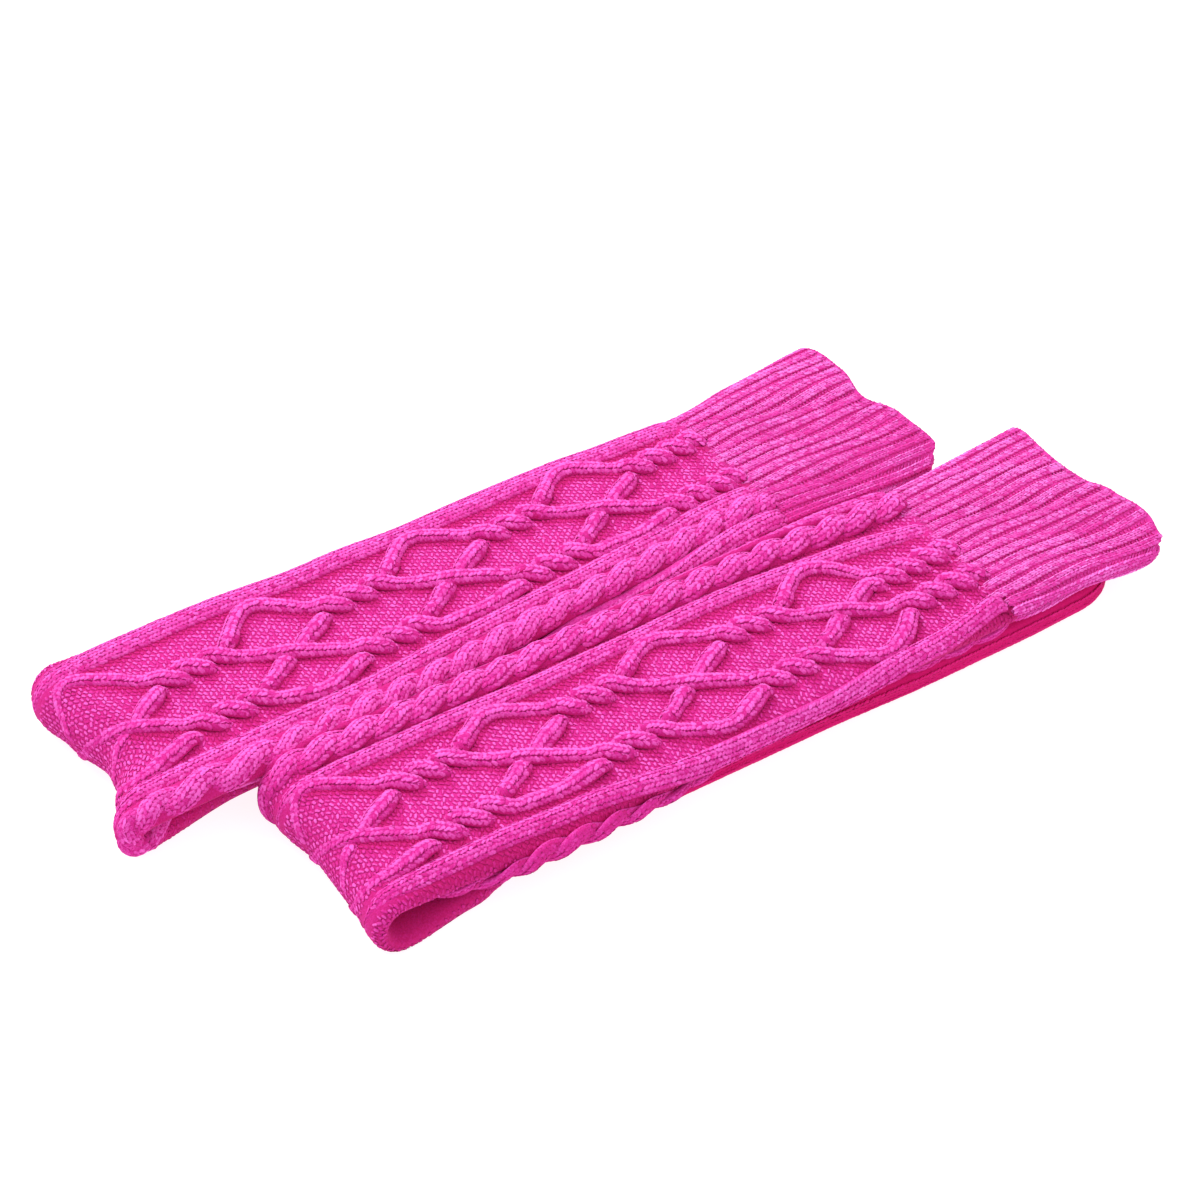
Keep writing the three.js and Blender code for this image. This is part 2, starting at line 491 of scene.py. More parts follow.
# ---- forms ---------------------------------------------------------------------------------------------
class TubeForm:
    """A flattened tube that any place on its surface can be looked up on.

    The form is a net of rings. Each ring is measured round from the middle of its top, so a stitch can
    be put at a path and a girth in millimetres.
    """

    RING_POINTS = 720
    GIRTH_STEP = 1.0
    # relief of a wall given none: low, so it is painted near the deep colour, as painted shade
    PLAIN_RELIEF = 0.22
    INNER_RIPPLE = 0.6  # how much of the outer surface's rise the inner one follows
    CAP = 0.02  # size of the last ring where a wall closes to a cap

    def __init__(
        self,
        path: Array,
        ring: Callable[[float, Array, Array], Array],
        section: Callable[[float], tuple[float, float, float, float]],
        to_part: Callable[[Array], Array],
    ) -> None:
        """Measure the form.

        Args:
            path: The rings' places, evenly spaced.
            ring: Gives the points of a section: path, across and height in, positions out.
            section: Gives a ring's far and near edges and its low and high sides.
            to_part: Moves points from the sock's frame to the part's.
        """
        self.path = path
        theta = np.linspace(0, 2 * math.pi, self.RING_POINTS + 1)
        c, s = np.cos(theta), np.sin(theta)
        power = 2 / SQUARENESS
        flat = []
        for place in path:
            far, near, low, high = section(place)
            across = (far + near) / 2 + (far - near) / 2 * np.sign(c) * abs(c) ** power
            height = (low + high) / 2 + (high - low) / 2 * np.sign(s) * abs(s) ** power
            steps = np.hypot(np.diff(across), np.diff(height))
            flat.append((across, height, np.concatenate([[0], np.cumsum(steps)])))
        self.perimeter = np.array([gone[-1] for _, _, gone in flat])
        reach = self.perimeter.max() / 2 + 2
        self.girth = np.arange(-reach, reach + self.GIRTH_STEP, self.GIRTH_STEP)
        top = slice(self.RING_POINTS // 2, None, -1)
        rings = []
        for place, (across, height, gone) in zip(path, flat):
            middle = np.interp(0.0, across[top], gone[top])
            at = np.mod(middle - self.girth, gone[-1])
            rings.append(ring(place, np.interp(at, gone, across), np.interp(at, gone, height)))
        self.net = to_part(np.stack(rings))
        self.normals = unit(np.cross(np.gradient(self.net, axis=0), np.gradient(self.net, axis=1)))

    def sample(self, path: Array, girth: Array) -> tuple[Array, Array]:
        """Look up places on the surface.

        Args:
            path: Distances along the form.
            girth: Distances round it from the middle of its top.

        Returns:
            Positions and outward normals.
        """
        path, girth = np.broadcast_arrays(path, girth)
        around = np.interp(path, self.path, self.perimeter)
        girth = np.mod(girth + around / 2, around) - around / 2
        i = (path - self.path[0]) / (self.path[1] - self.path[0])
        j = (girth - self.girth[0]) / self.GIRTH_STEP
        i = np.clip(i, 0, len(self.path) - 1.001)
        j = np.clip(j, 0, len(self.girth) - 1.001)
        i0, j0 = i.astype(int), j.astype(int)
        s, t = (i - i0)[..., None], (j - j0)[..., None]

        def blend(values: Array) -> Array:
            """Blend a table's four entries round each place."""
            low = mix(values[i0, j0], values[i0, j0 + 1], t)
            return mix(low, mix(values[i0 + 1, j0], values[i0 + 1, j0 + 1], t), s)

        return blend(self.net), unit(blend(self.normals))

    def girth_of(self, share: Array, path: Array) -> Array:
        """Turn shares of the whole way round into millimetres at a path."""
        return share * np.interp(path, self.path, self.perimeter)

    def wall(self, mesh: KnitMesh, path: Array, share: Array, thickness: float,
             ripple: Callable[[Array, Array], Array] | None = None,
             closed_end: bool = False,
             relief: Callable[[Array, Array], Array] | None = None) -> None:
        """Add the thin closed wall of the cloth: an outer and an inner surface, joined at the rims.

        Args:
            mesh: Where it goes.
            path: Places of its rings.
            share: Places of a ring's points, as shares of the way round, falling from 0.5.
            thickness: Of the wall.
            ripple: Gives the outer surface's rise for shares round and paths.
            closed_end: Whether the last ring closes to a cap in place of a rim.
            relief: Gives its outer surface's relief for paths and girths.
        """
        around = len(share)
        rows = path[:, None] + 0 * share
        girth = self.girth_of(share, rows)
        tone = relief(rows, girth) if relief else np.full(rows.shape, self.PLAIN_RELIEF)
        place, normal = self.sample(rows, girth)
        rise = ripple(share[None, :] + 0 * rows, rows) if ripple else np.zeros(rows.shape)
        outer = place + normal * rise[..., None]
        inner = place + normal * (self.INNER_RIPPLE * rise[..., None] - thickness)
        first = np.arange(around)
        following = (first + 1) % around
        if closed_end:
            inner = inner[:-1]
            for shell in (outer, inner):
                middle = shell[-1].mean(axis=0)
                shell[-1] = middle + self.CAP * (shell[-1] - middle)
            inside = len(outer) * around
            faces = [
                ring_faces(len(outer), around),
                ring_faces(len(inner), around)[:, ::-1] + inside,
                np.stack([first, first + inside, following + inside, following], -1),
                first[None, ::-1] + inside - around,
                first[None, :] + inside + (len(inner) - 1) * around,
            ]
            mesh.add(np.concatenate([outer, inner]), faces, np.concatenate([tone, tone[:-1]]))
            return
        loop = np.concatenate([outer, inner[::-1]])
        last = (len(loop) - 1) * around
        rim = np.stack([last + first, last + following, following, first], -1)
        mesh.add(loop, [ring_faces(len(loop), around), rim], np.concatenate([tone, tone[::-1]]))


@dataclass(frozen=True)
class Placing:
    """Carries points from a sock's own frame to the part's frame."""

    turn: float
    x: float
    y: float

    def __call__(self, points: Array) -> Array:
        """Turn and move points.

        Args:
            points: In the sock's frame.

        Returns:
            The same points in the part's frame.
        """
        c, s = math.cos(math.radians(self.turn)), math.sin(math.radians(self.turn))
        x, y = points[..., 0] - FIRST_TWIST, points[..., 1]
        placed = points.copy()
        placed[..., 0] = c * x - s * y + self.x
        placed[..., 1] = s * x + c * y + self.y
        return placed


# ---- strands of knitting -------------------------------------------------------------------------------
@dataclass(frozen=True)
class StrandStyle:
    """How a raised strand of knitting is built.

    Attributes:
        wales: Columns of stitches across it.
        half: Half its width.
        height: How proud it is domed.
        spread: Angle from its crown to its side, in degrees.
        plump: Thickness of its yarn, as a share of the room each half stitch has.
        lit: How much lighter its far side is painted than its crown, and its near side darker, as a share:
            painted light.
    """

    wales: int
    half: float
    height: float
    spread: float
    plump: float = 1.0
    lit: float = 0.22


LATTICE_CORD = StrandStyle(wales=2, half=3.65, height=2.6, spread=68)
BORDER = StrandStyle(wales=3, half=4.8, height=2.3, spread=66)
WIDE_BORDER = StrandStyle(wales=4, half=6.4, height=2.6, spread=62)
ROPE_STRAND = StrandStyle(wales=3, half=4.9, height=3.3, spread=70)
ROPE_BED = StrandStyle(wales=0, half=6.6, height=2.7, spread=70)
CALF_RIB = StrandStyle(wales=2, half=2.95, height=1.6, spread=66)
CALF_BAND = StrandStyle(wales=3, half=5.3, height=2.3, spread=66)
CUFF_RIB = StrandStyle(wales=1, half=1.1, height=0.85, spread=62)


class StitchMaker:
    """Makes stitches as small closed grains of yarn, many at once."""

    # Cross-sections, as shares of half the width and of the height.
    SECTION = np.array([(-1.0, 0.0), (-0.55, 0.86), (0.55, 0.86), (1.0, 0.0)])
    RIDGE = np.array([(-1.0, 0.0), (0.0, 1.0), (1.0, 0.0)])
    RINGS = ((0.2, 0.82), (0.7, 1.0))  # place along a grain and size there
    TIP_SUNK = 0.15  # how far a grain's tips go into the cloth, as a share of its height
    # a grain's relief: painted shade at its foot and sunk tips, painted highlight on its crown
    FOOT_TONE = 0.22
    CROWN_TONE = 0.88
    TIP_TONE = 0.45
    LEG_LENGTH = 3.2  # of half a V stitch, along the strand
    V_INNER = 0.03  # where it begins and ends, as shares of a wale from its middle
    V_OUTER = 0.47
    V_HEIGHT = 0.18  # its height and its rise at the middle, as shares of the room it has
    DOME = 0.07
    LEAN = 0.22  # how far it faces outwards
    AIM_SHAKE = 0.04
    ROW_SHAKE = 0.25

    def __init__(self, seed: int) -> None:
        """Start with a seeded source of small differences between stitches."""
        self.random = np.random.default_rng(seed)

    def grains(self, mesh: KnitMesh, start: Array, end: Array, normal: Array,
               half: Array | float, height: Array | float, section: Array,
               tone: Array | float = 1.0) -> None:
        """Add grains of yarn from start to end.

        Args:
            mesh: Where they go.
            start: Where each begins, (n, 3).
            end: Where each ends.
            normal: Which way each faces.
            half: Half its width.
            height: How high it stands.
            section: Its cross-section, as shares of half and height.
            tone: The relief of its top.
        """
        count, around = len(start), len(section)
        ahead = unit(end - start)
        side = unit(np.cross(ahead, normal))
        up = np.cross(side, ahead)
        half = np.broadcast_to(half, (count,))[:, None, None]
        height = np.broadcast_to(height, (count,))[:, None, None]
        rings = []
        for t, width in self.RINGS:
            centre = mix(start, end, t)[:, None, :]
            lift = section[None, :, 1, None] * height * width * up[:, None, :]
            rings.append(centre + section[None, :, 0, None] * half * width * side[:, None, :] + lift)
        sunk = self.TIP_SUNK * height[:, 0] * up
        points = np.concatenate(
            [(start - sunk)[:, None], *rings, (end - sunk)[:, None]], axis=1)
        j = np.arange(around)
        k = (j + 1) % around
        first, second, tip = 1 + j, 1 + around + j, 2 * around + 1
        fan = np.concatenate([
            np.stack([0 * j, 1 + k, first], -1),
            np.stack([0 * j + tip, second, 1 + around + k], -1)])
        quads = np.stack([first, 1 + k, 1 + around + k, second], -1)
        offset = (np.arange(count) * (tip + 1))[:, None, None]
        crown = self.FOOT_TONE + self.CROWN_TONE * section[None, :, 1]
        crown = crown * np.broadcast_to(tone, (count,))[:, None]
        ends = self.TIP_TONE * crown.max(axis=1, keepdims=True)
        mesh.add(points, [fan[None] + offset, quads[None] + offset],
                 np.concatenate([ends, crown, crown, ends], axis=1))


@dataclass
class Strand:
    """A line of raised knitting on a form.

    Attributes:
        form: The form that it lies on.
        path, girth, lift: Its line, from place to place, with its rise off the form.
        swell: How much plumper it is than its style, from place to place.
        tone: Relief of its stitches, from place to place.
        shown: What tells its open stretches, above nought, from the hidden ones.
    """

    form: TubeForm
    path: Array
    girth: Array
    lift: Array
    swell: Array | float = 1.0
    tone: Array | float = 1.0
    shown: Array | float = 1.0

    END_SIZE = 0.5  # of the core's last ring
    SIDE_PAINTED_LIGHT = 0.4  # painted light: how much lighter the core's far side is painted than its crown
    ARC_SHARE = 2.2  # length over the top, for the hypotenuse of half the width and the height

    def __post_init__(self) -> None:
        """Measure the line in space."""
        surface, normal = self.form.sample(self.path, self.girth)
        self.line = surface + normal * self.lift[:, None]
        self.normal = normal
        steps = np.linalg.norm(np.diff(self.line, axis=0), axis=1)
        self.gone = np.concatenate([[0], np.cumsum(steps)])
        self.ahead = unit(np.gradient(self.line, axis=0))
        self.swell, self.tone, self.shown = (
            np.broadcast_to(each, self.path.shape) for each in (self.swell, self.tone, self.shown))

    @property
    def length(self) -> float:
        """Length of the line."""
        return float(self.gone[-1])

    def girth_at(self, path: Array) -> Array:
        """Give the strand's place round the form at paths."""
        return np.interp(path, self.path, self.girth)

    def off(self, path: Array, girth: Array) -> Array:
        """Tell how far places are from the strand, square to it and positive on its far side.

        Args:
            path: Places along.
            girth: Places round.

        Returns:
            Distances in millimetres.
        """
        slope = np.interp(path, self.path, np.gradient(self.girth, self.path))
        return (girth - self.girth_at(path)) / np.hypot(1, slope)

    def frames(self, at: Array) -> tuple[Array, Array, Array]:
        """Give the line's place, side and up at distances along it.

        Args:
            at: The distances.

        Returns:
            Positions, directions to the line's far side, and directions up off the cloth.
        """
        def along(values: Array) -> Array:
            """Look up vectors at the distances."""
            return np.stack([np.interp(at, self.gone, values[:, k]) for k in range(3)], -1)

        ahead = unit(along(self.ahead))
        up = along(self.normal)
        side = unit(np.cross(up, ahead))
        return along(self.line), side, np.cross(ahead, side)

    def surface(self, at: Array, share: Array, style: StrandStyle,
                shrink: float = 1.0) -> tuple[Array, Array]:
        """Give places on the strand's domed top.

        Args:
            at: Distances along it.
            share: From -1 at its near side to 1 at its far side.
            style: Its shape.
            shrink: How much of its width and height to take.

        Returns:
            Positions and the ways that they face.
        """
        place, side, up = self.frames(at)
        shrink = shrink * np.interp(at, self.gone, self.swell)[:, None]
        angle = np.radians(style.spread) * share[:, None]
        edge = math.radians(style.spread)
        wide = style.half * shrink * np.sin(angle) / math.sin(edge)
        high = style.height * shrink * (np.cos(angle) - math.cos(edge)) / (1 - math.cos(edge))
        return place + side * wide + up * high, unit(side * np.sin(angle) + up * np.cos(angle))

    def core(self, mesh: KnitMesh, style: StrandStyle, points: int = 7, step: float = 2.6,
             relief: float = 0.47, depth: float = 1.0, full: float = 1.02) -> None:
        """Add the solid body under the strand's stitches.

        Args:
            mesh: Where it goes.
            style: The strand's shape.
            points: Points over its top.
            step: Distance between its rings.
            relief: Of what shows between the stitches; low values are painted shade.
            depth: How far its sides reach down.
            full: Its size, as a share of the strand's.
        """
        count = max(3, int(self.length / step))
        at = np.linspace(0, self.length, count)
        share = np.linspace(-1, 1, points)
        rings = np.empty((count, points + 2, 3))
        for j, x in enumerate(share[::-1]):
            rings[:, j + 1], _ = self.surface(at, np.full(count, x), style, full)
        _, _, up = self.frames(at)
        rings[:, 0] = rings[:, 1] - depth * up
        rings[:, -1] = rings[:, -2] - depth * up
        for end in (0, -1):
            middle = rings[end].mean(axis=0)
            rings[end] = middle + self.END_SIZE * (rings[end] - middle)
        # painted light: the core's far side lighter, its near side darker
        light = 1 + self.SIDE_PAINTED_LIGHT * np.concatenate([[1], share[::-1], [-1]])
        mesh.add_tube(rings, relief * light)

    def stitches(self, mesh: KnitMesh, maker: StitchMaker, style: StrandStyle) -> None:
        """Add the strand's columns of V stitches, where it is open and off the floor.

        Args:
            mesh: Where they go.
            maker: What makes them.
            style: The strand's shape.
        """
        rows = np.arange(0, self.length - maker.LEG_LENGTH, ROW)
        shown, raised, tone = (np.interp(rows, self.gone, values)
                               for values in (self.shown, self.line[:, 2], self.tone))
        kept = (shown > 0) & (raised > RESTING)
        rows, tone = rows[kept], tone[kept]
        room = self.ARC_SHARE * math.hypot(style.half, style.height) / (2 * style.wales)
        centres = (np.arange(style.wales) + 0.5) / style.wales * 2 - 1
        _, across, _ = self.frames(rows + maker.LEG_LENGTH / 2)
        for centre in centres:
            for side in (-1, 1):
                shake = maker.random.normal(0, 1, (6, len(rows)))
                inner, outer = (
                    centre + (side * aim + maker.AIM_SHAKE * moved) * 2 / style.wales
                    for aim, moved in zip((maker.V_INNER, maker.V_OUTER), shake))
                at = rows + maker.ROW_SHAKE * shake[2]
                begin, _ = self.surface(at, inner, style)
                finish, _ = self.surface(at + maker.LEG_LENGTH, outer, style)
                middle = (inner + outer) / 2
                _, facing = self.surface(rows + maker.LEG_LENGTH / 2, middle, style)
                begin += maker.DOME * room * facing
                half = room * 0.5 * style.plump * (1 + 0.1 * shake[3])
                high = maker.V_HEIGHT * room * (1 + 0.2 * shake[4])
                facing = unit(facing + maker.LEAN * side * across)
                # painted light: each strand lighter on its far side and darker on its near side; the shake
                # varies the tone at random
                maker.grains(mesh, begin, finish, facing, half, high, maker.SECTION,
                             tone * (1 + style.lit * middle) * (1 + 0.2 * shake[5]))


# ---- finishes ------------------------------------------------------------------------------------------
FIBRE_HEIGHT = 0.0004  # of the loose fibres, in metres
FLECK = 0.9  # how much the dye's fine unevenness moves the relief
DYE_RANGE = (0.93, 1.07)  # brightness of the dye from patch to patch


@dataclass(frozen=True)
class YarnFinish:
    """A dyed fluffy yarn, knitted, whose colour also carries painted shade and painted highlight.

    Attributes:
        name: Name of the material.
        deep: Colour between the stitches, a painted shade.
        face: Colour on the stitches.
        tip: Colour of the lit fibre ends, a painted highlight on the stitches' tops.
        fibre: Strength of the fibre bump.
        sheen: Weight of the soft sheen.
    """

    name: str
    deep: tuple[float, float, float]
    face: tuple[float, float, float]
    tip: tuple[float, float, float]
    fibre: float
    sheen: float

    def material(self) -> bpy.types.Material:
        """Make the material.

        Returns:
            The new material.
        """
        made = bpy.data.materials.new(self.name)
        made.use_nodes = True
        tree, links = made.node_tree, made.node_tree.links
        shader = tree.nodes["Principled BSDF"]
        for socket, value in (("Roughness", 0.92), ("Specular IOR Level", 0.18),
                              ("Sheen Weight", self.sheen), ("Sheen Roughness", 0.45),
                              ("Sheen Tint", (1.0, 0.4, 0.8, 1.0))):
            shader.inputs[socket].default_value = value
        relief = add_node(tree, "Attribute", attribute_name="relief")
        dye_and_shade = add_node(tree, "Group", node_tree=dye_and_shade_group())
        for socket, colour in (("Deep", self.deep), ("Face", self.face), ("Tip", self.tip)):
            dye_and_shade.inputs[socket].default_value = (*colour, 1.0)
        links.new(relief.outputs["Fac"], dye_and_shade.inputs["Relief"])
        links.new(dye_and_shade.outputs["Colour"], shader.inputs["Base Color"])
        fluff = add_node(tree, "Group", node_tree=fibre_group())
        bump = add_node(tree, "Bump", {"Strength": self.fibre, "Distance": FIBRE_HEIGHT})
        links.new(fluff.outputs["Height"], bump.inputs["Height"])
        links.new(bump.outputs["Normal"], shader.inputs["Normal"])
        return made


def add_node(tree: bpy.types.NodeTree, kind: str, values: dict[str | int, float] | None = None,
             **settings: object) -> bpy.types.Node:
    """Add a shader node to a tree.

    Args:
        tree: The tree.
        kind: Its kind, as in its type's name after ShaderNode.
        values: Values of its inputs.
        settings: Its other settings.

    Returns:
        The node.
    """
    node = tree.nodes.new(f"ShaderNode{kind}")
    for setting, value in settings.items():
        setattr(node, setting, value)
    for socket, value in (values or {}).items():
        node.inputs[socket].default_value = value
    return node


def new_group(name: str, inputs: dict[str, str], outputs: dict[str, str]) -> bpy.types.NodeTree:
    """Make an empty shader node group.

    Args:
        name: Its name.
        inputs: Socket types by name.
        outputs: Socket types by name.

    Returns:
        The group, with a node for its inputs and one for its outputs.
    """
    group = bpy.data.node_groups.new(name, "ShaderNodeTree")
    for direction, sockets in (("INPUT", inputs), ("OUTPUT", outputs)):
        for socket, kind in sockets.items():
            group.interface.new_socket(socket, in_out=direction, socket_type=kind)
    group.nodes.new("NodeGroupInput")
    group.nodes.new("NodeGroupOutput")
    return group


def noise_node(group: bpy.types.NodeTree, scale: float, detail: float) -> bpy.types.Node:
    """Add a noise texture in object coordinates to a group.

    Args:
        group: The group.
        scale: Of the noise, in repeats a metre.
        detail: Its finer layers.

    Returns:
        The noise node.
    """
    where = add_node(group, "TexCoord")
    noise = add_node(group, "TexNoise", {"Scale": scale, "Detail": detail})
    group.links.new(where.outputs["Object"], noise.inputs["Vector"])
    return noise


def dye_and_shade_group() -> bpy.types.NodeTree:
    """Give the node group that colours the yarn by its relief: painted shade where it is low, painted
    highlight where it is high, and the dyeing a little uneven.

    Returns:
        The group, made on first use.
    """
    name = "yarn_dye_and_shade"
    if name in bpy.data.node_groups:
        return bpy.data.node_groups[name]
    colour, number = "NodeSocketColor", "NodeSocketFloat"
    group = new_group(name, {"Deep": colour, "Face": colour, "Tip": colour, "Relief": number},
                      {"Colour": colour})
    nodes, links = group.nodes, group.links
    given, out = nodes["Group Input"], nodes["Group Output"]
    fine = noise_node(group, scale=1300, detail=3)
    broad = noise_node(group, scale=45, detail=2)
    uneven = add_node(group, "Math", {1: FLECK, 2: -FLECK / 2}, operation="MULTIPLY_ADD")
    links.new(fine.outputs["Fac"], uneven.inputs[0])
    place = add_node(group, "Math")
    links.new(given.outputs["Relief"], place.inputs[0])
    links.new(uneven.outputs[0], place.inputs[1])
    # painted shade: the deep colour at low relief; painted highlight: the tip colour at high relief
    low = add_node(group, "MapRange", {"From Max": 0.6})
    high = add_node(group, "MapRange", {"From Min": 0.55, "From Max": 1.15})
    body = add_node(group, "Mix", data_type="RGBA")
    lit = add_node(group, "Mix", data_type="RGBA")
    for ramp, mixer in ((low, body), (high, lit)):
        links.new(place.outputs[0], ramp.inputs["Value"])
        links.new(ramp.outputs["Result"], mixer.inputs["Factor"])
    links.new(given.outputs["Deep"], body.inputs["A"])
    links.new(given.outputs["Face"], body.inputs["B"])
    links.new(body.outputs["Result"], lit.inputs["A"])
    links.new(given.outputs["Tip"], lit.inputs["B"])
    tint = add_node(group, "HueSaturation")
    shade = add_node(group, "MapRange", dict(zip(("To Min", "To Max"), DYE_RANGE)))
    links.new(broad.outputs["Fac"], shade.inputs["Value"])
    links.new(shade.outputs["Result"], tint.inputs["Value"])
    links.new(lit.outputs["Result"], tint.inputs["Color"])
    links.new(tint.outputs["Color"], out.inputs["Colour"])
    return group


def fibre_group() -> bpy.types.NodeTree:
    """Give the node group for the height of the yarn's loose fibres.

    Returns:
        The group, made on first use.
    """
    name = "yarn_fibre"
    if name in bpy.data.node_groups:
        return bpy.data.node_groups[name]
    group = new_group(name, {}, {"Height": "NodeSocketFloat"})
    fibre = noise_node(group, scale=2200, detail=4)
    tuft = noise_node(group, scale=800, detail=2)
    total = add_node(group, "Math")
    group.links.new(fibre.outputs["Fac"], total.inputs[0])
    group.links.new(tuft.outputs["Fac"], total.inputs[1])
    group.links.new(total.outputs[0], group.nodes["Group Output"].inputs["Height"])
    return group


FINISHES: dict[Cloth, YarnFinish] = {
    Cloth.CABLE: YarnFinish("cable_yarn", (0.50, 0.006, 0.135), (0.67, 0.022, 0.305),
                            (0.90, 0.128, 0.60), 0.8, 0.05),
    Cloth.RIB: YarnFinish("rib_yarn", (0.70, 0.015, 0.24), (0.76, 0.052, 0.42),
                          (0.96, 0.23, 0.75), 0.8, 0.05),
    # the plain yarn is a darker copy of the same yarn: painted shade for the turned-under layer
    Cloth.PLAIN: YarnFinish("plain_yarn_shaded", (0.62, 0.004, 0.14), (0.67, 0.006, 0.175),
                            (0.80, 0.018, 0.27), 0.6, 0.03),
}


# ---- pieces --------------------------------------------------------------------------------------------
@dataclass
class Workshop:
    """What every piece is made with: the finishes and the stitch maker."""

    maker: StitchMaker = field(default_factory=lambda: StitchMaker(SEED))
    materials: dict[Cloth, bpy.types.Material] = field(default_factory=dict)

    def finish(self, cloth: Cloth) -> bpy.types.Material:
        """Give a knitting's material, made on first use."""
        if cloth not in self.materials:
            self.materials[cloth] = FINISHES[cloth].material()
        return self.materials[cloth]

    def piece(self, mesh: KnitMesh, name: str, cloth: Cloth) -> bpy.types.Object:
        """Make a mesh a piece of the part.

        Args:
            mesh: Its shape.
            name: Its name.
            cloth: Its knitting.

        Returns:
            The piece.
        """
        made = mesh.build(name, self.finish(cloth))
        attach(made, ROOT_BODY)
        return made


@dataclass
class Layer:
    """One stretch of a sock's knitting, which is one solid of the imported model."""

    sizes: SockSizes
    placing: Placing
    shop: Workshop


@dataclass
class Leg(Layer):
    """The cable-knit leg: its upper layer, the bend of the fold and the bottom ply under it."""

    wall_thickness: float = 2.4
    form_rings: int = 266
    wall_ring_step: float = 3.2
    wall_around: int = 66
    twist_swing: float = 0.052
    sunk: float = -3.3
    rope_pitch: float = 0.21
    rope_swing: float = 2.7
    rope_depth: float = 1.7
    rope_base: float = 1.3

    BEND_LIFT = 0.35  # lift, plumpness and tone of the knitting where it stretches round the bend; the tone is painted shade
    BEND_SWELL = 0.82
    BEND_SHADE = 0.74
    CUFF_SINK = 2.6  # how far raised knitting sinks in where the cuff starts
    FLOOR_SHADE = 0.6  # tone of the ground where the floor presses it, a painted shade on the floor side
    NEAR_SHADOW = (0.85, 4.6)  # depth and reach of the shade at raised knitting's near side
    FAR_SHADOW = (0.15, 2.0)
    SMALL_ROPE = 0.8  # a rope of this size or less has no bed and is painted darker, a painted shade
    SMALL_ROPE_SHADE = 0.42
    BAND_OFF = 10.2  # from a rope to the raised band beyond it, or to the flat rib
    RIB_OFF = 9.5
    RIB_START = 12.0  # path where the rib or band beyond the near rope comes up out of the cloth
    TUCKED_SHADE = 0.84  # tone of a border that runs in under the cuff, a painted shade on that near border
    FIRST_ROW = -3  # rows of twists, counted from the first one on the upper layer
    LAST_ROW = 3
    TWIST_LEAD = 0.20  # a row of twists begins this far before its place, in repeats
    CROSSING = 0.15  # length of one crossing in repeats, and of one in the last row
    LAST_CROSSING = 0.135
    GROUND_REACH = 22  # columns of ground bumps each way from the middle
    CLEAR = 4.0  # how far the ground keeps from the ropes' middles and the near edge
    BUMP_HALF = 0.76  # half the thickness of a ground bump, its height and its tone, whose high relief is a painted highlight on its top
    BUMP_HEIGHT = 0.5
    BUMP_TONE = 1.12
    # relief of the cloth between the ground bumps: painted shade, deeper where the ground's painted shade
    # falls
    WALL_SHADE = 0.42

    def __post_init__(self) -> None:
        """Work out the form."""
        self.upper_far, self.upper_near = edge_courses(self.sizes.upper)
        self.under_far, self.under_near = edge_courses(self.sizes.under)
        self.low = -FOLD_ARC - (FOLD_CLOSES - FOLD_RADIUS)
        self.high = CUFF_START - FOLD_RADIUS
        path = np.linspace(self.low, self.high, self.form_rings)
        self.form = TubeForm(path, self.ring, self.section, self.placing)
        chart = self.sizes.chart
        self.cords = [self.strand(*track, shown=track[2] + 2.1) for track in self.lattice_tracks()]
        near_end = self.high - 1 if self.sizes.tuck else None
        near_shade = self.TUCKED_SHADE if self.sizes.tuck else 1.0
        self.edging = ((self.lengthwise(chart.border_far),
                        WIDE_BORDER if self.sizes.wide_border else BORDER),
                       (self.lengthwise(chart.border_near, end=near_end, tone=near_shade), BORDER))
        self.rope_lines = [self.lengthwise(chart.rope_far), self.lengthwise(chart.rope_near)]

    @staticmethod
    def station(path: float) -> tuple[float, float]:
        """Turn a path into a place along the sock and a turn round the bend."""
        if path >= 0:
            return path + FOLD_RADIUS, 0.0
        if path >= -FOLD_ARC:
            return FOLD_RADIUS, -path / FOLD_RADIUS
        return FOLD_RADIUS - path - FOLD_ARC, math.pi

    def section(self, path: float) -> tuple[float, float, float, float]:
        """Give a ring's edges, and its heights as radii from the bend's axis.

        Args:
            path: The ring's place.

        Returns:
            The far and near edges and the low and high sides.
        """
        along, turn = self.station(path)
        turned = turn / math.pi
        closed = self.closed(along)
        far = mix(self.upper_far.at(along), self.under_far.at(along), turned)
        near = mix(self.upper_near.at(along), self.under_near.at(along), turned)
        flat = mix(UNDERSIDE - FOLD_RADIUS, FOLD_RADIUS - UNDER_TOP, turned)
        return far, near, mix(self.sizes.hollow, flat, closed), FOLD_RADIUS + SETTLE * turned

    @staticmethod
    def closed(along: float) -> float:
        """Tell how far the loop of the fold has closed at a place."""
        return float(smooth((along - FOLD_RADIUS) / (FOLD_CLOSES - FOLD_RADIUS)))

    def ring(self, path: float, across: Array, height: Array) -> Array:
        """Place a ring's points.

        Args:
            path: The ring's place.
            across: The points' places across.
            height: Their radii from the bend's axis.

        Returns:
            Positions in the sock's frame.
        """
        along, turn = self.station(path)
        top = smooth((height - FOLD_RADIUS * 0.6) / (FOLD_RADIUS * 0.4))
        radius = height + self.crease(path + FOLD_RADIUS, across) * top
        reach = self.sizes.fold_reach.at(across) * (1 - self.closed(along))
        return np.stack([
            along - radius * math.sin(turn) - reach,
            across,
            FOLD_RADIUS + radius * math.cos(turn),
        ], -1)

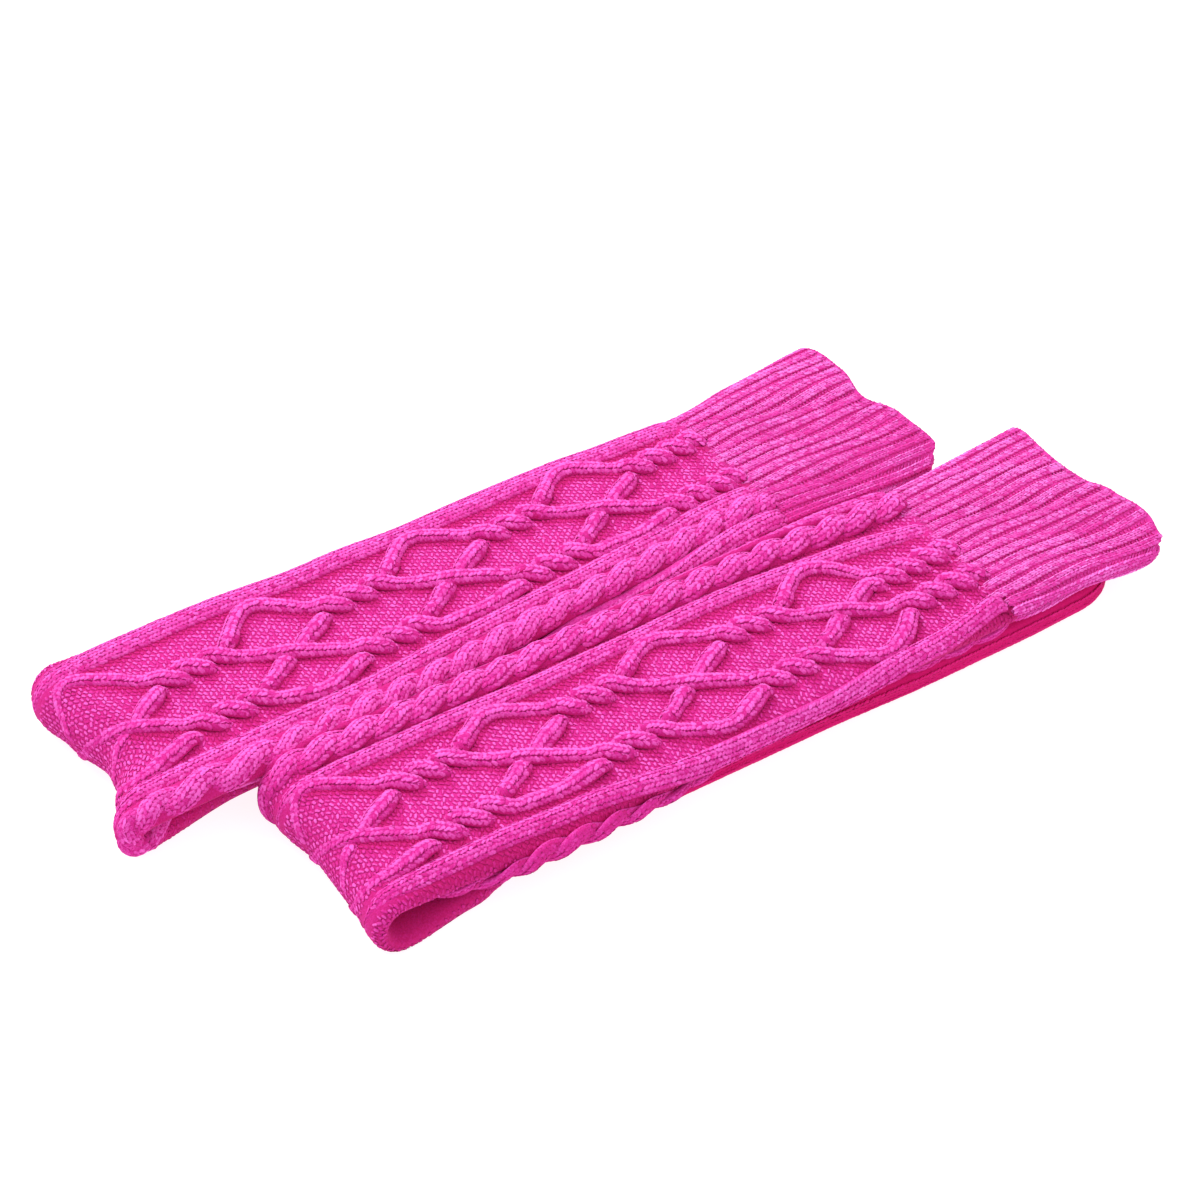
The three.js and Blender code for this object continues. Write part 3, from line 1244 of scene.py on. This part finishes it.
    def crease(self, along: float, across: Array) -> Array:
        """Give the rise of the soft creases and of the cloth's own unevenness.

        Args:
            along: A place along the sock, carried on round the bend.
            across: Places across.

        Returns:
            The rise there.
        """
        rise = 0.28 * np.sin(along / 17 + across / 23 + 1.1) * np.sin(across / 19 - along / 61)
        rise += 0.22 * np.sin(along / 9.1 - across / 31)
        for crease in self.sizes.creases:
            start, end = np.array(crease.start), np.array(crease.end)
            run = end - start
            t = np.clip(((along - start[0]) * run[0] + (across - start[1]) * run[1]) / (run @ run), 0, 1)
            off = np.hypot(along - start[0] - t * run[0], across - start[1] - t * run[1])
            rise += crease.rise * np.exp(-((off / crease.width) ** 2))
        return rise

    def strand(self, repeat: Array, place: Array, lift: Array | float, swell: Array | float = 1.0,
               shown: Array | float = 1.0, tone: Array | float = 1.0, sink: float = 2.1) -> Strand:
        """Lay a strand.

        Args:
            repeat: Its places along, in repeats from the first twist.
            place: Its places across, in repeats.
            lift: Its rise.
            swell: How much plumper it is than its style.
            shown: What tells its open stretches, above nought, from the hidden ones.
            tone: Relief of its stitches.
            sink: How much lower it lies on the bend.

        Returns:
            The strand.
        """
        path = FIRST_TWIST - FOLD_RADIUS + REPEAT * repeat
        inside = (path >= self.low + 1) & (path <= self.high + 4)
        spread = self.spread(path)
        fading = smooth((path - self.high + 7) / 9)
        lift = lift * mix(self.BEND_LIFT, 1.0, spread) - sink * (1 - spread)
        lift = lift - self.CUFF_SINK * fading
        swell = swell * mix(self.BEND_SWELL, 1.0, spread)
        shown = np.broadcast_to(shown, path.shape)
        return Strand(self.form, path[inside], REPEAT * place[inside], lift[inside], swell[inside],
                      (tone * mix(self.BEND_SHADE, 1.0, spread))[inside], shown[inside])

    @staticmethod
    def spread(path: Array) -> Array:
        """Tell how far the knitting has come off the bend, where it is stretched and lies lower."""
        return smooth((path + FOLD_ARC / 2) / 46)

    @staticmethod
    def off_floor(path: Array) -> Array:
        """Tell how far the knitting has come up from the floor side, where it is pressed smooth."""
        return smooth((path + FOLD_ARC) / 25)

    def shade(self, path: Array, girth: Array) -> Array:
        """Tell how light the ground is painted: painted shade beside raised knitting, most so on its near
        side, and on the bend and the floor side.

        Args:
            path: Places along.
            girth: Places round.

        Returns:
            Shares of the full relief.
        """
        light = mix(self.BEND_SHADE, 1.0, self.spread(path))
        light = light * mix(self.FLOOR_SHADE, 1.0, self.off_floor(path))
        # painted shade on the band beyond the near border
        side = self.edging[1][0].girth_at(path) - BORDER.half - girth
        light = light * mix(1.0, 0.62, smooth(side / 5))
        lines = [(cord, LATTICE_CORD) for cord in self.cords]
        lines += [*self.edging, *((line, ROPE_BED) for line in self.rope_lines)]
        for line, style in lines:
            off = line.off(path, girth)
            proud = smooth((np.interp(path, line.path, line.lift) + 2) / 2)
            gap = np.maximum(abs(off) - style.half, 0)
            near, far = (depth * np.exp(-(gap / reach) ** 2)
                         for depth, reach in (self.NEAR_SHADOW, self.FAR_SHADOW))
            light = light - proud * np.where(off < 0, near, far)
        light = np.maximum(light, 0.1)
        # painted shade in the crease where the leg is tucked in under the cuff
        if self.sizes.tuck:
            light = light * (1 - 0.95 * np.exp(-((path - self.high + 2) / 5) ** 2
                                               - ((girth - self.sizes.tuck) / 9) ** 2))
        return light

    # ---- the lattice -----------------------------------------------------------------------------------
    def lattice_tracks(self) -> list[tuple[Array, ...]]:
        """Work out the four cords of the lattice, each through twists and diamonds in turn.

        Returns:
            For each cord its places along and across, in repeats, its lift and its swell.
        """
        tracks = []
        for phase in range(4):
            knots: list[tuple[float, float, float, float]] = []
            for k in range(self.FIRST_ROW, self.LAST_ROW + 1):
                knots += self.twist_knots(k, (k + phase) % 4)
                if k < self.LAST_ROW:
                    knots += self.diamond_knots(k, (k + phase) % 4)
            tracks.append(self.through(knots))
        return tracks

    def twist_knots(self, k: int, turn: int) -> list[tuple[float, float, float, float]]:
        """Give a cord's points through one twist.

        Args:
            k: The row of twists.
            turn: Where the cord is in its round of four: coming down the outside of the far column (0),
                from the far to the near column (1), down the outside of the near one (2) or back (3).

        Returns:
            Places along and across in repeats, lifts and swells.
        """
        chart = self.sizes.chart
        column = chart.column_far if turn in (0, 3) else chart.column_near
        on_far = turn in (0, 1)
        last = k == self.LAST_ROW
        crossings = 4 if last else 3
        width = self.LAST_CROSSING if last else self.CROSSING
        start = k - self.TWIST_LEAD
        knots = []
        over = ((0.0, 0.2, 0.94), (0.2, 1.0, 1.02), (0.5, 1.6, 1.1), (0.8, 1.1, 1.04))
        under = ((0.0, 0.1, 0.86), (0.15, self.sunk * 0.6, 0.75), (0.33, self.sunk, 0.7),
                 (0.67, self.sunk, 0.7), (0.85, self.sunk * 0.6, 0.8))
        for m in range(crossings):
            for t, lift, swell in over if on_far else under:
                v = start + width * (m + t)
                swing = self.twist_swing * math.cos(math.pi * t) * (1 if on_far else -1)
                knots.append((v, float(column.at(v)) + swing, lift, swell))
            on_far = not on_far
        end = start + width * crossings
        side = self.twist_swing * (1 if on_far else -1)
        knots.append((end, float(column.at(end)) + side, 0.2, 1.0))
        return knots

    def diamond_knots(self, k: int, turn: int) -> list[tuple[float, float, float, float]]:
        """Give a cord's points between two rows of twists.

        Args:
            k: The row of twists before.
            turn: Where the cord is in its round of four, before that twist.

        Returns:
            Places along and across in repeats, lifts and swells.
        """
        chart = self.sizes.chart
        if turn == 0:
            return [(k + 0.35, 0.088, 0.4, 1.0), (k + 0.42, 0.048, 1.1, 1.05),
                    (k + 0.5, 0.006, 1.6, 1.1), (k + 0.58, -0.036, 1.1, 1.05),
                    (k + 0.68, -0.088, 0.4, 1.0)]
        if turn == 2:
            return [(k + 0.33, -0.104, -0.5, 1.0), (k + 0.43, -0.045, 0.7, 1.2),
                    (k + 0.465, -0.024, -0.6, 1.0), (k + 0.5, -0.004, self.sunk, 0.85),
                    (k + 0.535, 0.016, -2.0, 0.9), (k + 0.58, 0.040, -0.5, 1.05),
                    (k + 0.66, 0.082, 0.7, 1.22), (k + 0.73, 0.112, 0.9, 1.2)]
        peak, column = ((chart.peak_near, chart.column_near) if turn == 1
                        else (chart.peak_far, chart.column_far))
        out = float(peak.at(k + 0.5))
        edge = float(column.at(k + 0.3)) + math.copysign(self.twist_swing, out)
        rise = ((-0.5, 0.3, 0.6, 0.4) if turn == 3 else (0.4, 0.3, -0.1, 0.9))
        swell = ((1.05, 1.1, 1.05, 1.0) if turn == 3 else (1.0, 1.0, 1.05, 1.22))
        share = (0.6, 0.96, 0.98, 0.52)
        places = (0.36, 0.45, 0.53, 0.66)
        return [(k + v, mix(edge, out, t), lift, plump)
                for v, t, lift, plump in zip(places, share, rise, swell)]

    @staticmethod
    def through(knots: list[tuple[float, float, float, float]]) -> tuple[Array, ...]:
        """Draw a smooth line through a cord's points.

        Args:
            knots: The points, in order along.

        Returns:
            Places along and across, lifts and swells, closely spaced.
        """
        v, *columns = np.array(knots).T
        fine = np.arange(v[0], v[-1], 0.006)
        i = np.clip(np.searchsorted(v, fine, side="right") - 1, 0, len(v) - 2)
        h = v[i + 1] - v[i]
        t = (fine - v[i]) / h

        def eased(y: Array) -> Array:
            """Draw one of the points' measures as a smooth curve."""
            m = np.gradient(y, v)
            return ((2 * t**3 - 3 * t**2 + 1) * y[i] + (t**3 - 2 * t**2 + t) * h * m[i]
                    + (-2 * t**3 + 3 * t**2) * y[i + 1] + (t**3 - t**2) * h * m[i + 1])

        return fine, *(eased(column) for column in columns)

    def cables(self) -> bpy.types.Object:
        """Knit the lattice of twisted cords.

        Returns:
            The piece.
        """
        mesh = KnitMesh()
        for cord in self.cords:
            cord.core(mesh, LATTICE_CORD, full=1.045)
            cord.stitches(mesh, self.shop.maker, LATTICE_CORD)
        return self.shop.piece(mesh, f"{self.sizes.name}_leg_cables", Cloth.CABLE)

    def lengthwise(self, middle: Course, shift: float = 0.0, lift: float = 0.0,
                   start: float | None = None, end: float | None = None,
                   tone: float = 1.0) -> Strand:
        """Lay a strand down the whole leg.

        Args:
            middle: Its place across, in repeats.
            shift: Millimetres that it stands off that.
            lift: Its rise.
            start: The path where it comes up out of the cloth, if not at the leg's own end.
            end: The path where it stops short in a curled-up end, if it does.
            tone: Relief of its stitches.

        Returns:
            The strand.
        """
        v = np.arange(-1.75, 3.36, 0.012)
        path = FIRST_TWIST - FOLD_RADIUS + REPEAT * v
        lift = lift - (0 if end else 1.1) * smooth((path - self.high + 30) / 30)
        if abs(shift) > 8:
            lift = lift * mix(1.0, 1.6, smooth((path - 110) / 150))
        if start is not None:
            kept = path > start
            lift -= 4.5 * (1 - smooth((path - start) / 40))
            v, lift, path = v[kept], lift[kept], path[kept]
        if end is not None:
            lift += 3.4 * smooth((path - end + 16) / 16)
            v, lift = v[path < end], lift[path < end]
        return self.strand(v, middle.at(v) + shift / REPEAT, lift, tone=tone)

    def borders(self) -> bpy.types.Object:
        """Knit the two raised borders, and the double ribs beyond the ropes.

        Returns:
            The piece.
        """
        mesh = KnitMesh()
        chart = self.sizes.chart
        for strand, style in self.edging:
            strand.core(mesh, style)
            strand.stitches(mesh, self.shop.maker, style)
        ropes = (chart.rope_far, chart.rope_near)
        for middle, side, lift in zip(ropes, (1, -1), self.sizes.calf_lifts):
            if lift is not None:
                style, off = (CALF_BAND, self.BAND_OFF) if lift else (CALF_RIB, self.RIB_OFF)
                strand = self.lengthwise(middle, side * off, lift,
                                         start=self.RIB_START if side < 0 else None)
                strand.core(mesh, style, depth=1 + lift)
                strand.stitches(mesh, self.shop.maker, style)
        return self.shop.piece(mesh, f"{self.sizes.name}_leg_borders", Cloth.CABLE)

    def ropes(self) -> bpy.types.Object:
        """Knit the two rope cables, each of two strands that cross again and again.

        As it runs towards the cuff, the upper strand leans to the far side.

        Returns:
            The piece.
        """
        mesh = KnitMesh()
        chart = self.sizes.chart
        v = np.arange(-1.72, 3.30, 0.008)
        for index, middle in enumerate((chart.rope_far, chart.rope_near)):
            size = self.sizes.rope_sizes[index]
            large = size > self.SMALL_ROPE
            if large:
                # the bed between the lobes is painted in the deep colour, as painted shade
                self.rope_lines[index].core(mesh, ROPE_BED, points=9, step=4, relief=0.22)
            for half_turn in (0.0, math.pi):
                angle = math.pi * (v - 0.05 * index) / self.rope_pitch + half_turn
                swing = -size * self.rope_swing * np.cos(angle)
                lift = size * (self.rope_base + self.rope_depth * np.sin(angle))
                swell = size * (1.0 + 0.17 * np.sin(angle))
                # painted shade where a strand dips under and painted highlight where it rises over; a small
                # rope is painted darker still, as painted shade
                tone = (0.9 + 0.24 * np.sin(angle)) * (1.0 if large else self.SMALL_ROPE_SHADE)
                strand = self.strand(v, middle.at(v) + swing / REPEAT, lift, swell,
                                     np.sin(angle) + 0.8, tone, sink=1.2)
                strand.core(mesh, ROPE_STRAND)
                strand.stitches(mesh, self.shop.maker, ROPE_STRAND)
        return self.shop.piece(mesh, f"{self.sizes.name}_leg_ropes", Cloth.CABLE)

    def ground(self) -> bpy.types.Object:
        """Knit the purl ground between the figures, as rows of small cross-wise bumps.

        Returns:
            The piece.
        """
        mesh = KnitMesh()
        maker = self.shop.maker
        rows = np.arange(self.low + 2, self.high - 1, ROW)
        columns = np.arange(-self.GROUND_REACH, self.GROUND_REACH + 1) * WALE
        path, girth = np.meshgrid(rows, columns, indexing="ij")
        girth = girth + np.where(np.arange(len(rows)) % 2, WALE / 2, 0)[:, None]
        path, girth = path.ravel(), girth.ravel()
        v = (path + FOLD_RADIUS - FIRST_TWIST) / REPEAT
        chart = self.sizes.chart
        keep = girth < REPEAT * chart.rope_far.at(v) - self.CLEAR
        keep &= girth > REPEAT * chart.rope_near.at(v) + self.CLEAR
        for (_, style), border in zip(self.edging, (chart.border_far, chart.border_near)):
            keep &= abs(girth - REPEAT * border.at(v)) > style.half - 0.4
        for cord in self.cords:
            proud = smooth((np.interp(path, cord.path, cord.lift) + 2) / 2)
            keep &= abs(cord.off(path, girth)) > mix(0.8, LATTICE_CORD.half - 0.7, proud)
        near = self.upper_near.at(np.maximum(path, 0) + FOLD_RADIUS) - self.CLEAR
        keep &= (girth > near) & (self.form.sample(path, girth)[0][..., 2] > RESTING)
        path, girth = path[keep], girth[keep]
        shake = maker.random.normal(0, 1, (6, len(path)))
        path = path + 0.14 * shake[0]
        lean = np.where(np.round(girth / WALE * 2) % 4 < 2, 0.5, -0.35) + 0.3 * shake[4]
        reach = WALE * (0.49 + 0.06 * shake[5])
        start, _ = self.form.sample(path + lean, girth - reach)
        end, _ = self.form.sample(path - lean + 0.15 * shake[1], girth + reach)
        _, facing = self.form.sample(path, girth)
        half = self.BUMP_HALF * (1 + 0.16 * shake[2])
        high = self.BUMP_HEIGHT * mix(0.4, 1.0, self.off_floor(path))
        high = high * mix(0.75, 1.0, self.spread(path)) * (1 + 0.16 * shake[3])
        tone = self.BUMP_TONE * self.shade(path, girth) * (1 + 0.22 * shake[3])
        maker.grains(mesh, start, end, facing, half, high, maker.SECTION, tone)
        return self.shop.piece(mesh, f"{self.sizes.name}_leg_ground", Cloth.CABLE)

    def build(self) -> None:
        """Make the leg's wall and the stitches on it."""
        mesh = KnitMesh()
        path = np.linspace(self.low, self.high, int((self.high - self.low) / self.wall_ring_step))
        # the wall's colour is painted shade between the ground bumps
        self.form.wall(mesh, path, even_shares(self.wall_around), self.wall_thickness,
                       relief=lambda at, girth: self.WALL_SHADE * self.shade(at, girth) ** 1.3)
        wall = self.shop.piece(mesh, f"{self.sizes.name}_leg_cloth", Cloth.CABLE)
        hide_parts(f"{self.sizes.name}_leg")
        raised = [self.cables(), self.borders(), self.ropes(), self.ground()]


@dataclass
class Cuff(Layer):
    """The ribbed cuff: a flattened open tube with ribs lengthwise all round it."""

    ribs: int = 32
    form_rings: int = 72
    wall_thickness: float = 2.0
    groove: float = 0.85
    lead: float = 16.0

    RUFFLE = 0.35  # height of the small waves at the open end
    SWAY = 0.85  # how far the ribs sway sideways
    WALE_OFF = 1.12  # from a rib's middle to the middle of each of its two wales
    STITCHED = 0.30  # ribs within this share of the way round show, so they have stitches
    BUMP_REACH = 1.25  # half the length of a purl bump
    TUCK_REACH = 7.0  # ribs within this distance of the tuck start at the cuff itself

    def __post_init__(self) -> None:
        """Work out the form."""
        self.far, self.near = edge_courses(self.sizes.upper)
        path = np.linspace(CUFF_START - self.lead - 4, CUFF_END, self.form_rings)
        self.form = TubeForm(path, self.ring, self.section, self.placing)

    def section(self, along: float) -> tuple[float, float, float, float]:
        """Give a ring's edges and heights.

        Args:
            along: The ring's place.

        Returns:
            The far and near edges and the low and high sides.
        """
        open_share = float(smooth((along - CUFF_START) / 30))
        return (float(self.far.at(along)), float(self.near.at(along)), UNDERSIDE,
                mix(LEG_TOP, CUFF_TOP, open_share))

    def ring(self, along: float, across: Array, height: Array) -> Array:
        """Place a ring's points.

        Args:
            along: The ring's place.
            across: The points' places across.
            height: Their heights.

        Returns:
            Positions in the sock's frame.
        """
        pull = max(0.0, (along - CUFF_START) / CUFF_LENGTH)
        wave = self.sizes.cuff_wave.at(across) * pull**2
        ruffle = self.RUFFLE * pull * np.sin(across / 4.1 + along / 13)
        sway = np.sin(along / 10 + across / 17) * np.clip(1.1 - (across / 52) ** 2, 0, 1)
        top = (height - UNDERSIDE) / (CUFF_TOP - UNDERSIDE)
        return np.stack([
            along + pull**2 * self.sizes.cuff_reach.at(across),
            across + self.SWAY * min(1.0, 4 * pull) * sway,
            height + (wave + ruffle) * top,
        ], -1)

    def build(self) -> None:
        """Make the cuff's wall and its ribs."""
        def ripple(share: Array, along: Array) -> Array:
            """Sink the wall between ribs."""
            end = smooth((CUFF_END - along) / 2.5)
            sunk = 1 - 0.5 * (1 + np.cos(2 * math.pi * share * self.ribs))
            return -self.groove * sunk * end - (1 - end) * 0.6

        mesh = KnitMesh()
        path = np.concatenate([np.linspace(CUFF_START + SEAM_GAP, CUFF_END - 3, 26),
                               np.linspace(CUFF_END - 2, CUFF_END, 3)])
        # the wall between the ribs is painted shade, a little lighter at the open end
        self.form.wall(mesh, path, even_shares(self.ribs * 6), self.wall_thickness, ripple,
                       relief=lambda along, girth: mix(0.46, 0.38, smooth((CUFF_END - along) / 2)))
        wall = self.shop.piece(mesh, f"{self.sizes.name}_cuff_cloth", Cloth.RIB)
        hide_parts(f"{self.sizes.name}_cuff")
        raised = KnitMesh()
        for rib in range(self.ribs):
            share = rib / self.ribs - 0.5
            shown = abs(share) < self.STITCHED
            start = CUFF_START - self.lead * self.shop.maker.random.uniform(0.35, 0.9)
            across = self.form.girth_of(share, np.array(CUFF_START))
            if self.sizes.tuck and abs(across - self.sizes.tuck) < self.TUCK_REACH:
                start = CUFF_START - 1.5
            along = np.linspace(start, CUFF_END - 0.2, 90)
            settle = smooth((CUFF_END - along) / 2.2)
            emerge = smooth((along - start) / (CUFF_START + 3 - start))
            wave = np.sin(along / 7.3 + 2.1 * rib) * settle
            middle = self.form.girth_of(share, along) + 0.45 * np.sin(along / 9.7 + 1.3 * rib)
            lift = -self.groove * 0.2 - 0.45 * (1 - settle) - 1.7 * (1 - emerge) + 0.32 * wave
            # painted shade: ribs darker towards the near side; painted light on each rib's far wale and on
            # the crests of its wave; the slow sine gives patches of tone
            shade_and_tone = 1 - 0.4 * smooth((-middle - 18) / 22) + 0.1 * np.sin(along / 21 + middle / 13)
            for side in (-1, 1):
                strand = Strand(self.form, along, middle + self.WALE_OFF * side, lift,
                                tone=shade_and_tone * (1 + 0.1 * side) + 0.12 * wave)
                if shown:
                    strand.core(raised, CUFF_RIB, 5, 4.0)
                    strand.stitches(raised, self.shop.maker, CUFF_RIB)
                else:
                    # ribs out of sight get a lower relief: painted shade
                    strand.core(raised, CUFF_RIB, 5, 8.0, relief=0.27)
            if shown:
                self.valley(raised, share + 0.5 / self.ribs)
        ribs = self.shop.piece(raised, f"{self.sizes.name}_cuff_ribs", Cloth.RIB)

    def valley(self, mesh: KnitMesh, share: float) -> None:
        """Lay the purl bumps in the valley beside a rib.

        Args:
            mesh: Where they go.
            share: The valley's place, as a share of the way round.
        """
        maker = self.shop.maker
        along = np.arange(CUFF_START + 1, CUFF_END - 2, ROW)
        shake = maker.random.normal(0, 1, (4, len(along)))
        girth = self.form.girth_of(share, along)
        ends = []
        for side in (-1, 1):
            place, normal = self.form.sample(
                along + 0.2 * shake[side], girth + self.BUMP_REACH * side)
            ends.append(place - normal * (self.groove * 0.92))
        # the valley's purl bumps get a low tone: painted shade
        maker.grains(mesh, *ends, normal, 0.75, 0.7 * (1 + 0.15 * shake[2]), maker.RIDGE,
                     0.5 * (1 + 0.2 * shake[3]))


@dataclass
class Foot(Layer):
    """The lower leg and foot turned under: one rounded form, grooved at its edges."""

    form_rings: int = 214
    wall_thickness: float = 2.4
    edge_wales: range = range(-1, 3)  # columns of stitches at each edge, from edge_off out
    edge_off: float = 4.6

    def __post_init__(self) -> None:
        """Work out the form."""
        self.far, self.near = edge_courses(self.sizes.under)
        self.start = FOLD_CLOSES + SEAM_GAP
        path = np.linspace(self.start, TOE_END, self.form_rings)
        self.form = TubeForm(path, self.ring, self.section, self.placing)

    @staticmethod
    def toe_share(along: Array | float, reach: float) -> Array:
        """Tell how far places are into the last stretch before the toe, from 0 to 1."""
        return np.clip((along - TOE_END + reach) / reach, 0, 1)

    def inset(self, along: Array | float, reach: float) -> Array:
        """Give the share by which the toe's rounding has drawn a side in."""
        return 1 - np.sqrt(1 - self.toe_share(along, reach) ** 2)

    def section(self, along: float) -> tuple[float, float, float, float]:
        """Give a ring's edges and heights, rounded at the toe.

        Args:
            along: The ring's place.

        Returns:
            The far and near edges and the low and high sides.
        """
        inset = TOE_CORNER * self.inset(along, TOE_CORNER)
        thin = (UNDER_TOP / 2 - 1) * self.inset(along, TOE_EDGE)
        return (float(self.far.at(along)) - inset,
                float(self.near.at(along)) + inset * self.sizes.toe_corner,
                thin - SETTLE, UNDER_TOP - thin)

    def ring(self, along: float, across: Array, height: Array) -> Array:
        """Place a ring's points, pulled in at the middle of each edge.

        Args:
            along: The ring's place.
            across: The points' places across.
            height: Their heights.

        Returns:
            Positions in the sock's frame.
        """
        far, near, low, high = self.section(along)
        edge = self.toe_share(along, TOE_EDGE)
        middle = (low + high) / 2 + 0.6 * math.sin(along / 23)
        deep = LAYER_GROOVE * float(smooth((along - self.start) / 40)) * (1 - edge)
        groove = deep * np.exp(-(((height - middle) / 1.5) ** 2))
        side = (across - (far + near) / 2) / max((far - near) / 2, 1.0)
        return np.stack([
            along + 0 * across,
            across - groove * np.sign(side) * smooth((abs(side) - 0.7) / 0.3),
            height,
        ], -1)

    def build(self) -> None:
        """Make the wall of the turned-under cloth and the stitches at its edges."""
        mesh = KnitMesh()
        rounded = 1 - np.sin(np.linspace(0.12, 1, 12) * math.pi / 2)
        path = np.concatenate([np.linspace(self.start, TOE_END - TOE_CORNER, 78),
                               TOE_END - TOE_CORNER * rounded])
        self.form.wall(mesh, path, edge_shares(), self.wall_thickness, closed_end=True)
        wall = self.shop.piece(mesh, f"{self.sizes.name}_foot_cloth", Cloth.PLAIN)
        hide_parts(f"{self.sizes.name}_foot")
        raised = KnitMesh()
        style = StrandStyle(wales=1, half=1.45, height=0.3, spread=50, plump=0.85)
        along = np.linspace(self.start + 1, TOE_END - 6, 240)
        for edge in (self.far, self.near):
            sign = 1 if edge is self.far else -1
            for wale in self.edge_wales:
                girth = edge.at(along) + sign * (self.edge_off + wale * WALE)
                inset = TOE_CORNER * self.inset(along, TOE_CORNER)
                # the edge stitches get a low tone: painted shade on the turned-under layer
                strand = Strand(self.form, along, girth - sign * inset, np.full(len(along), -0.5),
                                tone=0.5)
                strand.stitches(raised, self.shop.maker, style)
        stitches = self.shop.piece(raised, f"{self.sizes.name}_foot_stitches", Cloth.PLAIN)


@dataclass
class Sock:
    """One whole sock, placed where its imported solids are."""

    sizes: SockSizes
    shop: Workshop

    def placing(self) -> Placing:
        """Find the sock's place from the box of its turned-under solid.

        Returns:
            What carries its own frame to the part's.
        """
        foot = Foot(self.sizes, Placing(self.sizes.turn, 0.0, 0.0), self.shop)
        low, high = foot.form.net.min(axis=(0, 1)), foot.form.net.max(axis=(0, 1))
        box_low, box_high = (np.array(corner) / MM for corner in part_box(f"{self.sizes.name}_foot"))
        shift = (box_low + box_high - low - high) / 2
        return Placing(self.sizes.turn, float(shift[0]), float(shift[1]))

    def build(self) -> None:
        """Make the foot, the leg and the cuff."""
        placing = self.placing()
        log.info("%s sock at %.2f, %.2f", self.sizes.name, placing.x, placing.y)
        for part in (Foot, Leg, Cuff):
            part(self.sizes, placing, self.shop).build()


# ---- the studio ----------------------------------------------------------------------------------------
class Lamp(NamedTuple):
    """A square soft light that faces the socks: its place and side in metres, its power in watts."""

    name: str
    place: tuple[float, float, float]
    size: float
    power: float


@dataclass
class Studio:
    """A pale floor, soft light and the camera."""

    floor_size: float = 12.0
    azimuth: float = -34.597
    elevation: float = 41.251
    distance: float = 1.52886
    target: tuple[float, float, float] = (-0.00059, 0.00046, 0.029)
    lens: float = 108.0
    sensor: float = 36.0
    lamps: tuple[Lamp, ...] = (
        Lamp("key", (-0.35, 1.7, 1.9), 1.8, 56),
        Lamp("fill", (1.2, -1.6, 1.7), 1.8, 10),
    )

    def floor(self) -> None:
        """Lay the floor."""
        bpy.ops.object.select_all(action="DESELECT")
        bpy.ops.mesh.primitive_plane_add(size=self.floor_size, location=(0, 0, 0))
        floor = bpy.context.object
        floor.name = "floor"
        paper = bpy.data.materials.new("paper")
        paper.use_nodes = True
        shader = paper.node_tree.nodes["Principled BSDF"]
        shader.inputs["Base Color"].default_value = (0.35, 0.35, 0.35, 1)
        shader.inputs["Emission Color"].default_value = (1.0, 1.0, 1.0, 1)
        shader.inputs["Emission Strength"].default_value = 0.85
        shader.inputs["Roughness"].default_value = 0.9
        shader.inputs["Specular IOR Level"].default_value = 0.1
        floor.data.materials.append(paper)
        floor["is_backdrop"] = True

    def light(self, lamp: Lamp) -> None:
        """Hang a lamp."""
        data = bpy.data.lights.new(lamp.name, "AREA")
        data.size = lamp.size
        data.energy = lamp.power
        holder = bpy.data.objects.new(lamp.name, data)
        holder.location = lamp.place
        holder.rotation_euler = (-Vector(lamp.place)).to_track_quat("-Z", "Y").to_euler()
        bpy.context.scene.collection.objects.link(holder)

    def camera(self) -> None:
        """Set up the camera."""
        data = bpy.data.cameras.new("camera")
        data.sensor_fit = "HORIZONTAL"
        data.sensor_width = self.sensor
        data.lens = self.lens
        data.clip_end = 50
        a, e = math.radians(self.azimuth), math.radians(self.elevation)
        back = Vector((math.sin(a) * math.cos(e), -math.cos(a) * math.cos(e), math.sin(e)))
        holder = bpy.data.objects.new("camera", data)
        holder.location = Vector(self.target) + back * self.distance
        holder.rotation_euler = (-back).to_track_quat("-Z", "Y").to_euler()
        bpy.context.scene.collection.objects.link(holder)
        bpy.context.scene.camera = holder

    def build(self) -> None:
        """Set the whole studio."""
        self.floor()
        for lamp in self.lamps:
            self.light(lamp)
        world = bpy.data.worlds.new("studio")
        world.use_nodes = True
        background = world.node_tree.nodes["Background"]
        background.inputs["Color"].default_value = (1, 1, 1, 1)
        background.inputs["Strength"].default_value = 0.92
        bpy.context.scene.world = world
        bpy.context.scene.view_settings.view_transform = "Standard"
        self.camera()


def main() -> None:
    """Build the studio and both socks."""
    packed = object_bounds()
    Studio().build()
    shop = Workshop()
    for sizes in (FAR_SOCK, NEAR_SOCK):
        Sock(sizes, shop).build()
    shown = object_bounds()
    [[list(corner) for corner in box] for box in (packed, shown)]


if __name__ == "__main__":
    main()
